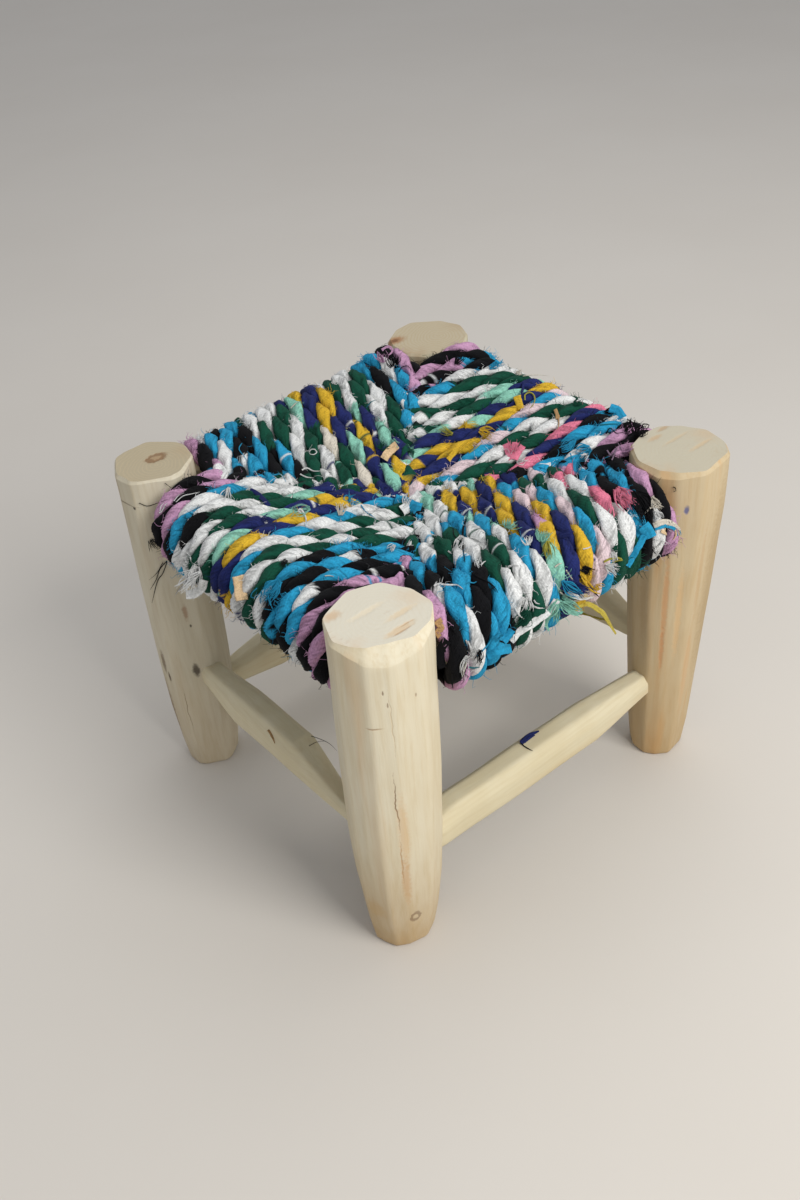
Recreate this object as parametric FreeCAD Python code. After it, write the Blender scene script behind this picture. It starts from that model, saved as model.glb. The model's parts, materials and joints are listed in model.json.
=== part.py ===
"""Low four-legged stool with a seat of thick rope wound on four rails.

Four hewn legs carry four round seat rails and four hewn stretchers in blind
round mortises. The rope lies in four windings, one on each seat rail. Every
winding goes over its rail, inward to the diagonal seam, down and back under the
rail, sixteen times, so that its rows fill one triangle of the seat. The rows of
neighbouring windings meet along the diagonals, and the seat dips to its centre.

Frame: millimetres, +Z up, origin on the floor below the centre of the seat,
the front side of the stool towards -Y. A side of the stool has its own frame:
x runs from its first leg to its second, y runs inward and z is up, and the
sides follow each other in quarter turns about the centre.
"""
import FreeCAD, Part
import math
import os

Vector = FreeCAD.Vector

# Legs
leg_height = 250.0
leg_spacing = 239.0            # between the axes of neighbouring legs, at their tops
leg_radius = 30.5              # to the corners of the facets, in the upper part
foot_radius = 21.5
top_chamfer = 3.0
foot_chamfer = 1.5
leg_swell_shares = ((0.09, 0.38), (0.22, 0.74), (0.38, 0.93), (0.6, 1.0))   # of height, of growth
leg_facet_shares = (1.0, 0.97, 1.0, 0.96, 0.99, 0.97, 1.0, 0.97, 0.99, 0.98, 0.96)
leg_turns = (20.0, 75.0, 200.0, 255.0)                       # degrees about each leg's axis
foot_shifts = ((-7.0, 5.0), (-1.5, 1.5), (7.0, -5.0), (-9.0, -10.0))   # lean of each leg, at its foot

# Seat rails
rail_drop = 32.0               # from the tops of the legs down to the rails' axes
rail_radius = 18.0
rail_tenon_radius = 9.0

# Stretchers: for the first and second leg of each side, the tenon's height above the floor,
# the depth of the neck, the bare tongue between neck and leg, and the length of the hewn point
stretcher_ends = (((67.0, 27.0, 0.0, 16.0), (70.0, 19.0, 0.0, 52.0)),
                  ((92.0, 16.0, 3.0, 36.0), (94.0, 19.0, 0.0, 44.0)),
                  ((60.0, 19.0, 0.0, 38.0), (58.0, 18.0, 0.0, 42.0)),
                  ((90.0, 19.0, 0.0, 40.0), (63.0, 14.0, 24.0, 46.0)))
cut_from_above_shares = ((0.0, -0.3), (0.8, 0.2), (0.1, 0.2), (0.1, 0.9))   # of a point's cut, over half
stretcher_depth = 32.0         # upright
stretcher_width = 23.0
stretcher_tenon_radius = 6.5
neck_width_share = 0.9         # of the neck's depth
hewn_corner_shares = ((-0.5, -0.3), (-0.28, -0.5), (0.24, -0.5), (0.5, -0.26),
                      (0.5, 0.22), (0.3, 0.5), (-0.22, 0.5), (-0.5, 0.3))     # of width and depth

# Joints between the wooden pieces
tenon_gap = 0.15               # round a tenon
shoulder_gap = 0.3             # between a shoulder and the leg
tip_gap = 1.5                  # between a tenon's tip and the ground of its mortise
crossing_wall = 1.5            # wood left between two mortises that point at each other

# Rope
rope_diameter = 9.8
rope_row_gap = 0.6             # least gap between the rows of a winding
rope_rail_gap = 0.3            # between the rope and its rail
rope_leg_gap = 0.3             # between the first row and the leg
seam_gap = 0.6                 # between neighbouring windings
seam_lap = 0.7                 # how far the bends of one winding reach over the seam
seat_dip = 25.0                # drop of the rope's top from the rail to the centre
belly_drop = 7.0               # drop of the rope's underside from the rail to the centre

side_names = ("front", "right", "rear", "left")
leg_names = ("front_left", "front_right", "rear_right", "rear_left")
half_spacing = leg_spacing / 2
rail_height = leg_height - rail_drop
rope_radius = rope_diameter / 2
wrap_radius = rail_radius + rope_rail_gap + rope_radius
lean_share_below_rope = 1 - (rail_height - wrap_radius - rope_radius - belly_drop) / leg_height
lean_room = max(abs(shift) for shifts in foot_shifts for shift in shifts) * lean_share_below_rope


def to_world(shape, side):
    """Moves a shape from the frame of a side to the frame of the stool."""
    placed = shape.copy()
    placed.translate(Vector(-half_spacing, -half_spacing, 0))
    placed.rotate(Vector(0, 0, 0), Vector(0, 0, 1), 90 * side)
    return placed


def corner_place(corner, height):
    """Corner of the seat's square at a height, in the frame of the stool."""
    x = half_spacing if corner in (1, 2) else -half_spacing
    y = half_spacing if corner in (2, 3) else -half_spacing
    return Vector(x, y, height)


def leg_axis(corner, height):
    """Centre of a leaning leg at a height."""
    lean_share = 1 - height / leg_height
    return corner_place(corner, height) + Vector(*foot_shifts[corner], 0) * lean_share


def leg_radius_at(height):
    """Radius of a leg's facet corners at a height, without its chamfers."""
    knots = ((0.0, 0.0),) + leg_swell_shares + ((1.0, 1.0),)
    for (low, low_share), (high, high_share) in zip(knots, knots[1:]):
        if height <= high * leg_height:
            along = (height / leg_height - low) / (high - low)
            growth = low_share + (high_share - low_share) * along
            return foot_radius + (leg_radius - foot_radius) * growth
    return leg_radius


def facet_section(centre, radius, turn):
    """Corners of a leg's cross-section."""
    corners = []
    for index, share in enumerate(leg_facet_shares):
        angle = math.radians(turn + 360 * index / len(leg_facet_shares))
        corners.append(centre + Vector(math.cos(angle), math.sin(angle), 0) * radius * share)
    return corners


def prism_of(sections):
    """Solid between sections whose edges stay parallel, so that its facets are flat."""
    def face(corners):
        return Part.Face(Part.makePolygon(corners + corners[:1]))
    faces = [face(sections[0]), face(sections[-1])]
    for low, high in zip(sections, sections[1:]):
        for here in range(len(low)):
            after = (here + 1) % len(low)
            faces.append(face([low[here], low[after], high[after], high[here]]))
    return Part.makeSolid(Part.makeShell(faces))


def leg(corner, mortises):
    """Hewn leg with flat chamfered ends and its mortises."""
    heights = [foot_chamfer] + [share * leg_height for share, growth in leg_swell_shares]
    heights.append(leg_height - top_chamfer)
    rings = [(0, leg_radius_at(foot_chamfer) - foot_chamfer)]
    rings += [(height, leg_radius_at(height)) for height in heights]
    rings.append((leg_height, leg_radius - top_chamfer))
    turn = leg_turns[corner]
    body = prism_of([facet_section(leg_axis(corner, height), radius, turn) for height, radius in rings])
    for mortise in mortises:
        body = body.cut(mortise)
    return body


def blind_depth(tenon_radius):
    """Distance from a leg's axis to the ground of a mortise, clear of the one that crosses it."""
    return tenon_radius + tenon_gap + crossing_wall


def round_bar(start, end, radius, start_inset, end_inset):
    """Cylinder between two points, kept clear of both by insets."""
    along = (end - start).normalize()
    length = (end - start).Length - start_inset - end_inset
    return Part.makeCylinder(radius, length, start + along * start_inset, along)


def rail_axis(side):
    """Ends of a seat rail's axis, at the corners of the seat's square."""
    return corner_place(side, rail_height), corner_place((side + 1) % 4, rail_height)


def seat_rail(side):
    """Round seat rail with a tenon at each end."""
    start, end = rail_axis(side)
    shoulder = leg_radius + lean_room + shoulder_gap
    tip = blind_depth(rail_tenon_radius) + tip_gap
    bar = round_bar(start, end, rail_radius, shoulder, shoulder)
    return bar.fuse(round_bar(start, end, rail_tenon_radius, tip, tip)).removeSplitter()


def stretcher_axis(side):
    """Ends of a stretcher's axis, on the axes of its two legs."""
    first, second = stretcher_ends[side]
    return leg_axis(side, first[0]), leg_axis((side + 1) % 4, second[0])


def hewn_section(centre, across, upright, width, depth):
    """Cross-section of a stretcher, closed."""
    corners = [centre + across * width * x + upright * depth * z for x, z in hewn_corner_shares]
    return Part.makePolygon(corners + corners[:1])


def stretcher(side):
    """Hewn stretcher, cut to a point at each end, with round tenons."""
    start, end = stretcher_axis(side)
    along = (end - start).normalize()
    across = along.cross(Vector(0, 0, 1)).normalize()
    upright = across.cross(along)
    span = (end - start).Length
    stations = []
    for (height, neck, tongue, point), share in zip(stretcher_ends[side], cut_from_above_shares[side]):
        shoulder = leg_radius_at(height + neck / 2) + shoulder_gap + tongue
        lift = (stretcher_depth - neck) / 2 * share
        stations.append(((shoulder, neck * neck_width_share, neck, 0),
                         (shoulder + point, stretcher_width, stretcher_depth, lift)))
    first, second = stations
    second = [(span - distance, width, depth, lift) for distance, width, depth, lift in reversed(second)]
    sections = []
    for distance, width, depth, lift in list(first) + second:
        centre = start + along * distance + upright * lift
        sections.append(hewn_section(centre, across, upright, width, depth))
    body = Part.makeLoft(sections, True, True)
    tip = blind_depth(stretcher_tenon_radius) + tip_gap
    return body.fuse(round_bar(start, end, stretcher_tenon_radius, tip, tip))


def mortises_of(corner):
    """The four holes of a leg: rail and stretcher of the side it starts and of the one it ends."""
    holes = []
    for ends, tenon_radius in ((rail_axis, rail_tenon_radius), (stretcher_axis, stretcher_tenon_radius)):
        for side in (corner, (corner - 1) % 4):
            start, end = ends(side)
            if side != corner:
                start, end = end, start
            depth = blind_depth(tenon_radius)
            holes.append(round_bar(start, end, tenon_radius + tenon_gap, depth, half_spacing))
    return holes


# Places of the rope's rows, in the frame of a side
first_row = leg_radius + lean_room + rope_leg_gap + rope_radius
row_span = leg_spacing - 2 * first_row
row_count = int(row_span / (rope_diameter + rope_row_gap) + 0.5)
row_pitch = row_span / (row_count - 0.5)
half_pitch = row_pitch / 2
dip_angle = math.atan(seat_dip / half_spacing)
belly_angle = math.atan(belly_drop / half_spacing)


def top_point(x, y):
    """Point of the rope's upper line: it touches the wrap round the rail and falls inward."""
    return Vector(x, y, rail_height + (wrap_radius - y * math.sin(dip_angle)) / math.cos(dip_angle))


def under_point(x, y):
    """Point of the rope's lower line."""
    return Vector(x, y, rail_height - (wrap_radius + y * math.sin(belly_angle)) / math.cos(belly_angle))


top_outward = Vector(0, -math.cos(dip_angle), math.sin(dip_angle))
under_inward = Vector(0, math.cos(belly_angle), -math.sin(belly_angle))
top_touch = wrap_radius * math.sin(dip_angle)
under_touch = -wrap_radius * math.sin(belly_angle)


def arc_edge(start, tangent, end, backward=False):
    """Arc that leaves its start along a tangent and stops at its end."""
    chord = end - start
    direction = Vector(chord).normalize()
    aside = (tangent - direction * tangent.dot(direction)).normalize()
    rise = chord.Length / 2 * math.tan(tangent.getAngle(direction) / 2)
    crown = start + chord * 0.5 + aside * rise
    if backward:
        start, end = end, start
    return Part.Arc(start, crown, end).toShape()


def biarc(start, leaving, end, arriving):
    """Two tangent arcs of about a quarter turn each."""
    chord = end - start
    both = leaving + arriving
    spread = 2 * (1 - leaving.dot(arriving))
    pull = chord.dot(both)
    reach = (math.sqrt(pull * pull + spread * chord.dot(chord)) - pull) / spread
    middle = (start + leaving * reach + end - arriving * reach) * 0.5
    return [arc_edge(start, leaving, middle), arc_edge(end, arriving * -1, middle, True)]


def nose_place(x, closing):
    """Furthest place inward of the rope's centre line in the bend at x, short of the neighbours."""
    meeting = half_spacing - rope_radius - seam_gap / 2
    if closing and abs(x - half_spacing) < half_pitch / 2:
        return meeting
    lapping = x + seam_lap
    tucked = leg_spacing - x - rope_diameter - seam_gap
    return min(lapping, tucked, meeting)


def bend_start(x, closing):
    """Where the straight rows end and the bend at the seam begins."""
    height_at_rail = wrap_radius / math.cos(dip_angle) + wrap_radius / math.cos(belly_angle)
    narrowing = math.tan(dip_angle) - math.tan(belly_angle)
    return (nose_place(x, closing) - height_at_rail / 2) / (1 - narrowing / 2)


def winding_path(closing):
    """Edges of the rope's centre line on one rail. A closing winding also fills the seat's centre."""
    end_place = first_row + half_pitch - rope_diameter - seam_gap
    edges = []
    inner = end_place
    for row in range(row_count):
        x = first_row + row * row_pitch
        over = top_point(x, top_touch)
        edges.append(Part.makeLine(top_point(x, inner), over))
        x += half_pitch
        under = under_point(x, under_touch)
        edges += biarc(over, top_outward, under, under_inward)
        last = row == row_count - 1
        inner = end_place if last else bend_start(x + half_pitch / 2, closing)
        edges.append(Part.makeLine(under, under_point(x, inner)))
        if not last:
            edges += biarc(under_point(x, inner), under_inward,
                           top_point(x + half_pitch, inner), top_outward)
    return edges


def winding(edges):
    """The rope of one winding as one tube."""
    section = Part.Circle(edges[0].Vertexes[0].Point, top_outward, rope_radius).toShape()
    return Part.Wire(edges).makePipeShell([Part.Wire([section])], True, False)


def sampled(edges, side):
    """Points along a winding's centre line in the frame of the stool, with their distance along it."""
    points = []
    travelled = 0
    for edge in to_world(Part.Wire(edges), side).OrderedEdges:
        count = max(2, int(edge.Length / rope_radius * 2) + 1)
        for index, place in enumerate(edge.discretize(count)):
            points.append((place, travelled + edge.Length * index / (count - 1)))
        travelled += edge.Length
    return points


def least_gap(points, others, apart):
    """Least distance of two rope surfaces, leaving out what follows within a length of the rope."""
    cell = 2 * rope_diameter
    grid = {}
    for place, travelled in others:
        key = (int(place.x // cell), int(place.y // cell), int(place.z // cell))
        grid.setdefault(key, []).append((place, travelled))
    least = cell
    for place, travelled in points:
        key = (int(place.x // cell), int(place.y // cell), int(place.z // cell))
        for dx in (-1, 0, 1):
            for dy in (-1, 0, 1):
                for dz in (-1, 0, 1):
                    for other, other_travelled in grid.get((key[0] + dx, key[1] + dy, key[2] + dz), ()):
                        if abs(travelled - other_travelled) >= apart:
                            least = min(least, (place - other).Length)
    return least - rope_diameter


def main():
    """Writes the pieces and prints the rope's lengths and gaps."""
    os.makedirs("parts", exist_ok=True)
    pieces = {}
    for corner, name in enumerate(leg_names):
        pieces["leg_" + name] = leg(corner, mortises_of(corner))
    for side, name in enumerate(side_names):
        pieces["seat_rail_" + name] = seat_rail(side)
        pieces["stretcher_" + name] = stretcher(side)
    paths = [winding_path(side % 2 == 1) for side in range(4)]
    for side, name in enumerate(side_names):
        pieces["rope_winding_" + name] = to_world(winding(paths[side]), side)
    for name, piece in pieces.items():
        piece.exportStep("parts/" + name + ".step")
    lengths = [sum(edge.Length for edge in path) for path in paths]
    points = [sampled(path, side) for side, path in enumerate(paths)]
    print("rows", row_count, "pitch", round(row_pitch, 2), "rope lengths", [round(length) for length in lengths])
    for side, name in enumerate(side_names[:2]):
        share = pieces["rope_winding_" + name].Volume / (math.pi * rope_radius ** 2 * lengths[side])
        own = least_gap(points[side], points[side], 3 * rope_diameter)
        after = least_gap(points[side], points[side + 1], -1)
        opposite = least_gap(points[side], points[side + 2], -1)
        print(name, "winding: least gap to itself", round(own, 2), "to the next", round(after, 2),
              "to the opposite one", round(opposite, 2), "volume share of the tube", round(share, 4))


main()
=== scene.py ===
# %% [markdown]
# # A low stool with a seat of rag rope
# Four hewn legs, four round seat rails and four hewn stretchers make the wooden
# part of this stool. Its seat is rope, twisted from strips of old cloth and wound
# on the rails in four fields that meet along the diagonals. The construction is
# loaded first, as fixed bodies in metres, and every piece made below takes its
# place from it.

# %% Load the construction
import bpy
import json
import math
import numpy as np
from mathutils import Matrix, Vector

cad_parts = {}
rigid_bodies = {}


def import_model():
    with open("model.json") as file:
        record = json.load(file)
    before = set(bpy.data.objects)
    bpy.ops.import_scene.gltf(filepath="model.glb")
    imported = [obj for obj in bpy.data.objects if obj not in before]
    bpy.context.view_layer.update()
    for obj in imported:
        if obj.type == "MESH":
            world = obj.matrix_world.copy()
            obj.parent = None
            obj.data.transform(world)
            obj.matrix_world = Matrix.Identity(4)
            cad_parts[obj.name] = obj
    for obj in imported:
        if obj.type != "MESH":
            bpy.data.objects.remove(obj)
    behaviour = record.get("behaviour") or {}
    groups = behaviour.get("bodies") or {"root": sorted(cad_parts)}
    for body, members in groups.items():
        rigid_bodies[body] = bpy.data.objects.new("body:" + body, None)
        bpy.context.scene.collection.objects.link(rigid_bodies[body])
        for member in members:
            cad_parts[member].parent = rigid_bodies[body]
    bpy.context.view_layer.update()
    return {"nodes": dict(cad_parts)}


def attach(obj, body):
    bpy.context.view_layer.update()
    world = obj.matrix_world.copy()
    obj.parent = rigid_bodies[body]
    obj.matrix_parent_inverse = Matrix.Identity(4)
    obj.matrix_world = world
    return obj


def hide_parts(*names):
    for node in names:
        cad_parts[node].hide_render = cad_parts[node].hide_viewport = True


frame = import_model()
mm = 0.001
body = "root"
side_names = ("front", "right", "rear", "left")
leg_names = ("front_left", "front_right", "rear_right", "rear_left")


# %% [markdown]
# ## Camera
# The photograph looks down on the stool from its front left corner, a little
# tilted. A camera's rotation can be set with angles, but three directions in a
# matrix are easier to read: to the right, up, and back towards the viewer.

# %% Camera
camera_place = Vector((-0.407, -0.521, 0.645))
heading, downward, tilt = (math.radians(angle) for angle in (36.7, 37.7, -5.5))
forward = Vector((math.cos(downward) * math.sin(heading),
                  math.cos(downward) * math.cos(heading), -math.sin(downward)))
level_right = forward.cross(Vector((0, 0, 1))).normalized()
level_up = level_right.cross(forward)
right = level_right * math.cos(tilt) + level_up * math.sin(tilt)
up = level_up * math.cos(tilt) - level_right * math.sin(tilt)
camera_data = bpy.data.cameras.new("camera")
camera_data.sensor_fit = "VERTICAL"
camera_data.sensor_height = 36.0        # millimetres, as the focal length
camera_data.lens = 35.97


def put_in_scene(name, data):
    """Makes an object of a mesh, a lamp or a camera, and links it to the scene."""
    made = bpy.data.objects.new(name, data)
    bpy.context.scene.collection.objects.link(made)
    return made


camera = put_in_scene("camera", camera_data)
turned_axes = Matrix((right, up, -forward)).transposed().to_4x4()
camera.matrix_world = Matrix.Translation(camera_place) @ turned_axes
bpy.context.scene.camera = camera
bpy.context.scene.view_settings.view_transform = "Standard"
print("camera looks along", [round(v, 3) for v in forward])

# %% [markdown]
# ## Building materials from nodes
# Every finish here is procedural: a tree of small nodes computes its colour and
# its bumps. The helper below adds one node, sets its inputs and links those that
# come from other nodes, so that a material reads like a recipe.

# %% Node helper
def add(tree, kind, inputs=None, **settings):
    """Adds a node. Inputs are values, or outputs of other nodes, by name or number."""
    node = tree.nodes.new(kind)
    for name, value in settings.items():
        setattr(node, name, value)
    for key, value in (inputs or {}).items():
        if isinstance(value, bpy.types.NodeSocket):
            tree.links.new(value, node.inputs[key])
        else:
            node.inputs[key].default_value = value
    return node


def made_by(tree, kind, inputs=None, **settings):
    """Adds a node and gives its first output."""
    return add(tree, kind, inputs, **settings).outputs[0]


# %% Small recipes of nodes
def math_of(tree, operation, first, second=0.0, third=0.0):
    """A Math node's result."""
    return made_by(tree, "ShaderNodeMath", {0: first, 1: second, 2: third}, operation=operation)


def times(tree, first, second):
    """Two values multiplied."""
    return math_of(tree, "MULTIPLY", first, second)


def vector_of(tree, x, y=0.0, z=0.0):
    """A vector from three values."""
    return made_by(tree, "ShaderNodeCombineXYZ", {0: x, 1: y, 2: z})


def vector_math(tree, operation, first, second=(0, 0, 0)):
    """A Vector Math node's result."""
    node = add(tree, "ShaderNodeVectorMath", {0: first, 1: second}, operation=operation)
    return node.outputs["Value" if operation in ("LENGTH", "DISTANCE", "DOT_PRODUCT") else "Vector"]


def noise_of(tree, place, scale, detail=3.0, roughness=0.55, distortion=0.0):
    """Soft noise between 0 and 1."""
    return made_by(tree, "ShaderNodeTexNoise", {"Vector": place, "Scale": scale, "Detail": detail,
                                                "Roughness": roughness, "Distortion": distortion})


def fade(tree, value, low, high, to_low=0.0, to_high=1.0):
    """Maps a range of values to another, smoothly and clamped."""
    return made_by(tree, "ShaderNodeMapRange", {0: value, 1: low, 2: high, 3: to_low, 4: to_high},
                   interpolation_type="SMOOTHSTEP")


def mix_colours(tree, share, first, second, blend="MIX"):
    """Mixes two colours by a share."""
    node = add(tree, "ShaderNodeMix", {0: share, 6: first, 7: second}, data_type="RGBA", blend_type=blend)
    return node.outputs[2]


# %% Colours and empty materials
def linear(red, green, blue):
    """A colour that is written as on a screen, 0 to 255, as the renderer reckons with it."""
    parts = [part / 255 for part in (red, green, blue)]
    return tuple(part / 12.92 if part < 0.04045 else ((part + 0.055) / 1.055) ** 2.4
                 for part in parts) + (1.0,)


def new_material(name):
    """An empty material: its tree and its surface shader."""
    material = bpy.data.materials.new(name)
    material.use_nodes = True
    return material, material.node_tree, material.node_tree.nodes["Principled BSDF"]


def object_place(tree):
    """Where a point lies on its object."""
    return add(tree, "ShaderNodeTexCoord").outputs["Object"]


def set_surface(tree, shader, colour, height=None, bump_strength=0.0, bump_distance=0.0, **plain):
    """Links a surface's colour and its bumps, and sets its plain values."""
    tree.links.new(colour, shader.inputs["Base Color"])
    if height is not None:
        bump = made_by(tree, "ShaderNodeBump", {"Height": height, "Strength": bump_strength,
                                                "Distance": bump_distance})
        tree.links.new(bump, shader.inputs["Normal"])
    for name, value in plain.items():
        shader.inputs[name.replace("_", " ")].default_value = value


# %% [markdown]
# ## Floor and light
# The stool stands on a plain pale floor. One large soft lamp beside the camera
# gives the shadows of the photograph, and the pale surroundings fill them. The
# lamps stay at a plain level, where a colour renders about as it is written.

# %% Floor, surroundings and lamps
def new_mesh_object(name, points, faces, material):
    """Makes an object from points in metres and faces."""
    mesh = bpy.data.meshes.new(name)
    mesh.from_pydata([tuple(point) for point in points], [], [tuple(face) for face in faces])
    mesh.shade_smooth()
    mesh.materials.append(material)
    return put_in_scene(name, mesh)


def level_square(name, size, steps, material):
    """A level square, divided into smaller ones."""
    line = np.linspace(-size / 2, size / 2, steps)
    points = [(x, y, 0.0) for y in line for x in line]
    starts = [row * steps + column for row in range(steps - 1) for column in range(steps - 1)]
    faces = [(start, start + 1, start + steps + 1, start + steps) for start in starts]
    return new_mesh_object(name, points, faces, material)


floor_finish, tree, shader = new_material("pale_floor")
cloudy = noise_of(tree, object_place(tree), 3.0)
floor_colour = mix_colours(tree, cloudy, linear(203, 197, 188), linear(209, 204, 196))
set_surface(tree, shader, floor_colour, Roughness=0.85)
floor = level_square("floor", 9.0, 10, floor_finish)
floor.location.z = -0.0002

world = bpy.data.worlds.new("pale_surroundings")
bpy.context.scene.world = world
world.use_nodes = True
background = world.node_tree.nodes["Background"]
background.inputs["Color"].default_value = (0.93, 0.95, 1.0, 1.0)
background.inputs["Strength"].default_value = 0.52


def soft_lamp(name, place, target, size, power, colour):
    """A square area lamp that looks at a target."""
    data = bpy.data.lights.new(name, "AREA")
    data.size, data.energy, data.color = size, power, colour
    lamp = put_in_scene(name, data)
    lamp.location = place
    lamp.rotation_euler = (Vector(target) - Vector(place)).to_track_quat("-Z", "Y").to_euler()


soft_lamp("key_lamp", (0.1, -1.3, 1.2), (0, 0, 0.12), 0.8, 20.0, (1.0, 0.98, 0.95))
soft_lamp("top_lamp", (0.5, 0.3, 1.7), (0, 0, 0.1), 1.4, 7.0, (1.0, 0.99, 0.97))
print("lamps:", [lamp.name for lamp in bpy.data.lights])

# %% [markdown]
# ## Hewn wood
# The legs and stretchers are cut with an axe and a drawknife from pale softwood.
# Along the piece the grain shows as long soft streaks; on the sawn top it shows
# as growth rings with brown streaks of the saw. One function builds the material
# for a piece whose pith runs along a given axis, because the rings follow that.

# %% Wood material
mark_depth = 0.008              # how deep under a mark's place the wood still takes it, in metres
ring_width = 0.0027             # a year's growth, in metres
foot_brown, saw_brown = linear(176, 142, 92), linear(158, 112, 68)


def with_mark(tree, place, colour, mark):
    """Paints a mark on a colour: a spot, a ring or a crack. Gives the new colour and the mark's share."""
    kind, centre, turn, width, height, tone, amount = mark
    apart = vector_math(tree, "SUBTRACT", place, tuple(centre))
    axes = (1, 0, 0), (0, 1, 0), (0, 0, 1)
    if turn is not None:
        angle = math.radians(turn)
        axes = (-math.sin(angle), math.cos(angle), 0), (0, 0, 1), (math.cos(angle), math.sin(angle), 0)
    sideways, rise, outward = (vector_math(tree, "DOT_PRODUCT", apart, axis) for axis in axes)
    if kind == "crack":
        drift = noise_of(tree, vector_math(tree, "MULTIPLY", place, (0.0, 0.0, 1.0)), 60.0, 3.0)
        sideways = math_of(tree, "ADD", sideways, math_of(tree, "MULTIPLY_ADD", drift, 0.006, -0.003))
    flat = vector_of(tree, math_of(tree, "DIVIDE", sideways, width), math_of(tree, "DIVIDE", rise, height))
    near = math_of(tree, "ADD", vector_math(tree, "LENGTH", flat),
                   math_of(tree, "MULTIPLY_ADD", noise_of(tree, place, 420.0, 3.0), 0.8, -0.4))
    if kind == "ring":
        near = times(tree, math_of(tree, "ABSOLUTE", math_of(tree, "SUBTRACT", near, 0.7)), 2.6)
    share = times(tree, fade(tree, near, 0.3, 1.0, amount, 0.0),
                  math_of(tree, "GREATER_THAN", outward, -mark_depth))
    return mix_colours(tree, share, colour, tone), share


def wood_finish(name, pith, along, tones, foot_stain=0.0, marks=()):
    """Pale hewn wood whose grain runs along an axis through the pith.

    Its tones are the light, dark and streak colours, the amount of streaks, the colour of the sawn ends, and
    the amount of rings on them."""
    light, dark, streak, streak_amount, end_light, ring_amount = tones
    material, tree, shader = new_material(name)
    place = object_place(tree)
    here = vector_math(tree, "SUBTRACT", place, tuple(pith))
    axis = Vector(along).normalized()
    aside = axis.orthogonal().normalized()
    far, sideways, upward = (vector_math(tree, "DOT_PRODUCT", here, tuple(direction))
                             for direction in (axis, aside, axis.cross(aside)))
    radial = vector_of(tree, sideways, upward)
    stretched = vector_of(tree, sideways, upward, times(tree, far, 0.07))

    wander = times(tree, noise_of(tree, stretched, 40.0, 2.0), 0.011)
    radius = math_of(tree, "ADD", vector_math(tree, "LENGTH", radial), wander)
    year = math_of(tree, "MULTIPLY_ADD", noise_of(tree, radial, 60.0, 1.0), 0.5, 0.75)
    rings = math_of(tree, "SINE", times(tree, radius, 2 * math.pi / ring_width))
    rings = times(tree, fade(tree, rings, -0.2, 1.0), year)
    fibres = noise_of(tree, stretched, 420.0, 4.0, 0.6)
    broad = noise_of(tree, stretched, 55.0, 3.0, 0.5, 0.4)
    cloudy = noise_of(tree, vector_math(tree, "MULTIPLY", here, (1.0, 1.0, 0.4)), 26.0, 3.0)
    saw = noise_of(tree, vector_math(tree, "MULTIPLY", here, (0.22, 1.0, 0.1)), 300.0, 4.0, 0.6, 0.8)

    hewn = mix_colours(tree, fade(tree, cloudy, 0.35, 0.7, 0.0, 0.35), light, dark)
    hewn = mix_colours(tree, times(tree, fade(tree, fibres, 0.42, 0.72), 0.32), hewn, dark)
    hewn = mix_colours(tree, times(tree, rings, 0.10), hewn, dark)
    hewn = mix_colours(tree, times(tree, fade(tree, broad, 0.54, 0.7), streak_amount), hewn, streak)
    if foot_stain:
        worn = times(tree, fade(tree, far, -0.13, -0.01, foot_stain, 0.0),
                     fade(tree, cloudy, 0.2, 0.6, 0.55, 1.0))
        hewn = mix_colours(tree, worn, hewn, foot_brown)

    saw_patch = times(tree, fade(tree, saw, 0.55, 0.75), fade(tree, noise_of(tree, here, 34.0), 0.5, 0.62))
    sawn = mix_colours(tree, times(tree, rings, ring_amount), end_light, dark)
    sawn = mix_colours(tree, times(tree, fade(tree, cloudy, 0.45, 0.7), 0.3), sawn, streak)
    sawn = mix_colours(tree, times(tree, saw_patch, 0.6), sawn, saw_brown)
    normal = add(tree, "ShaderNodeNewGeometry").outputs["Normal"]
    facing_end = math_of(tree, "ABSOLUTE", vector_math(tree, "DOT_PRODUCT", normal, tuple(axis)))
    colour = mix_colours(tree, fade(tree, facing_end, 0.8, 0.95), hewn, sawn)

    height = math_of(tree, "MULTIPLY_ADD", fibres, 0.6, times(tree, saw, 0.35))
    for mark in marks:
        colour, share = with_mark(tree, place, colour, mark)
        height = math_of(tree, "SUBTRACT", height, share)
    set_surface(tree, shader, colour, height, 0.45, 0.0007, Specular_IOR_Level=0.3)
    tree.links.new(fade(tree, fibres, 0.3, 0.8, 0.58, 0.75), shader.inputs["Roughness"])
    return material


sapwood, latewood = linear(218, 209, 184), linear(196, 176, 136)
amber = linear(198, 152, 98)

# %% [markdown]
# ## Legs
# A leg is an irregular prism of eleven hewn facets that slims towards the foot
# and leans a little. It could be a cylinder with flat cuts, but a ring of points
# per height, set on the straight lines between the facets' corners, gives the
# facets directly. The corners wander slightly with the height, as a drawknife
# leaves them, and the upper edge has an uneven chamfer.

# %% Sizes of the legs
half_spacing = 119.5
leg_height = 250.0
leg_sizes = (31.3, 31.6, 31.2, 27.8)           # radius of each leg's upper part
foot_share = 0.705                              # of that radius, at the foot
# growth of the radius from foot to top, by share of the height; the front right leg is more slender
stout = ((0.0, 0.0), (0.09, 0.38), (0.22, 0.74), (0.38, 0.93), (0.6, 1.0), (1.0, 1.0))
slender = ((0.0, -0.34), (0.1, -0.05), (0.35, 0.34), (0.6, 0.68), (0.85, 1.0), (1.0, 1.0))
near = ((0.0, -0.08), (0.09, 0.33), (0.22, 0.7), (0.38, 0.91), (0.6, 1.0), (1.0, 1.0))
swells = (near, slender, stout, stout)
facet_shares = (1.0, 0.97, 1.0, 0.96, 0.99, 0.97, 1.0, 0.97, 0.99, 0.98, 0.96)
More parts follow.
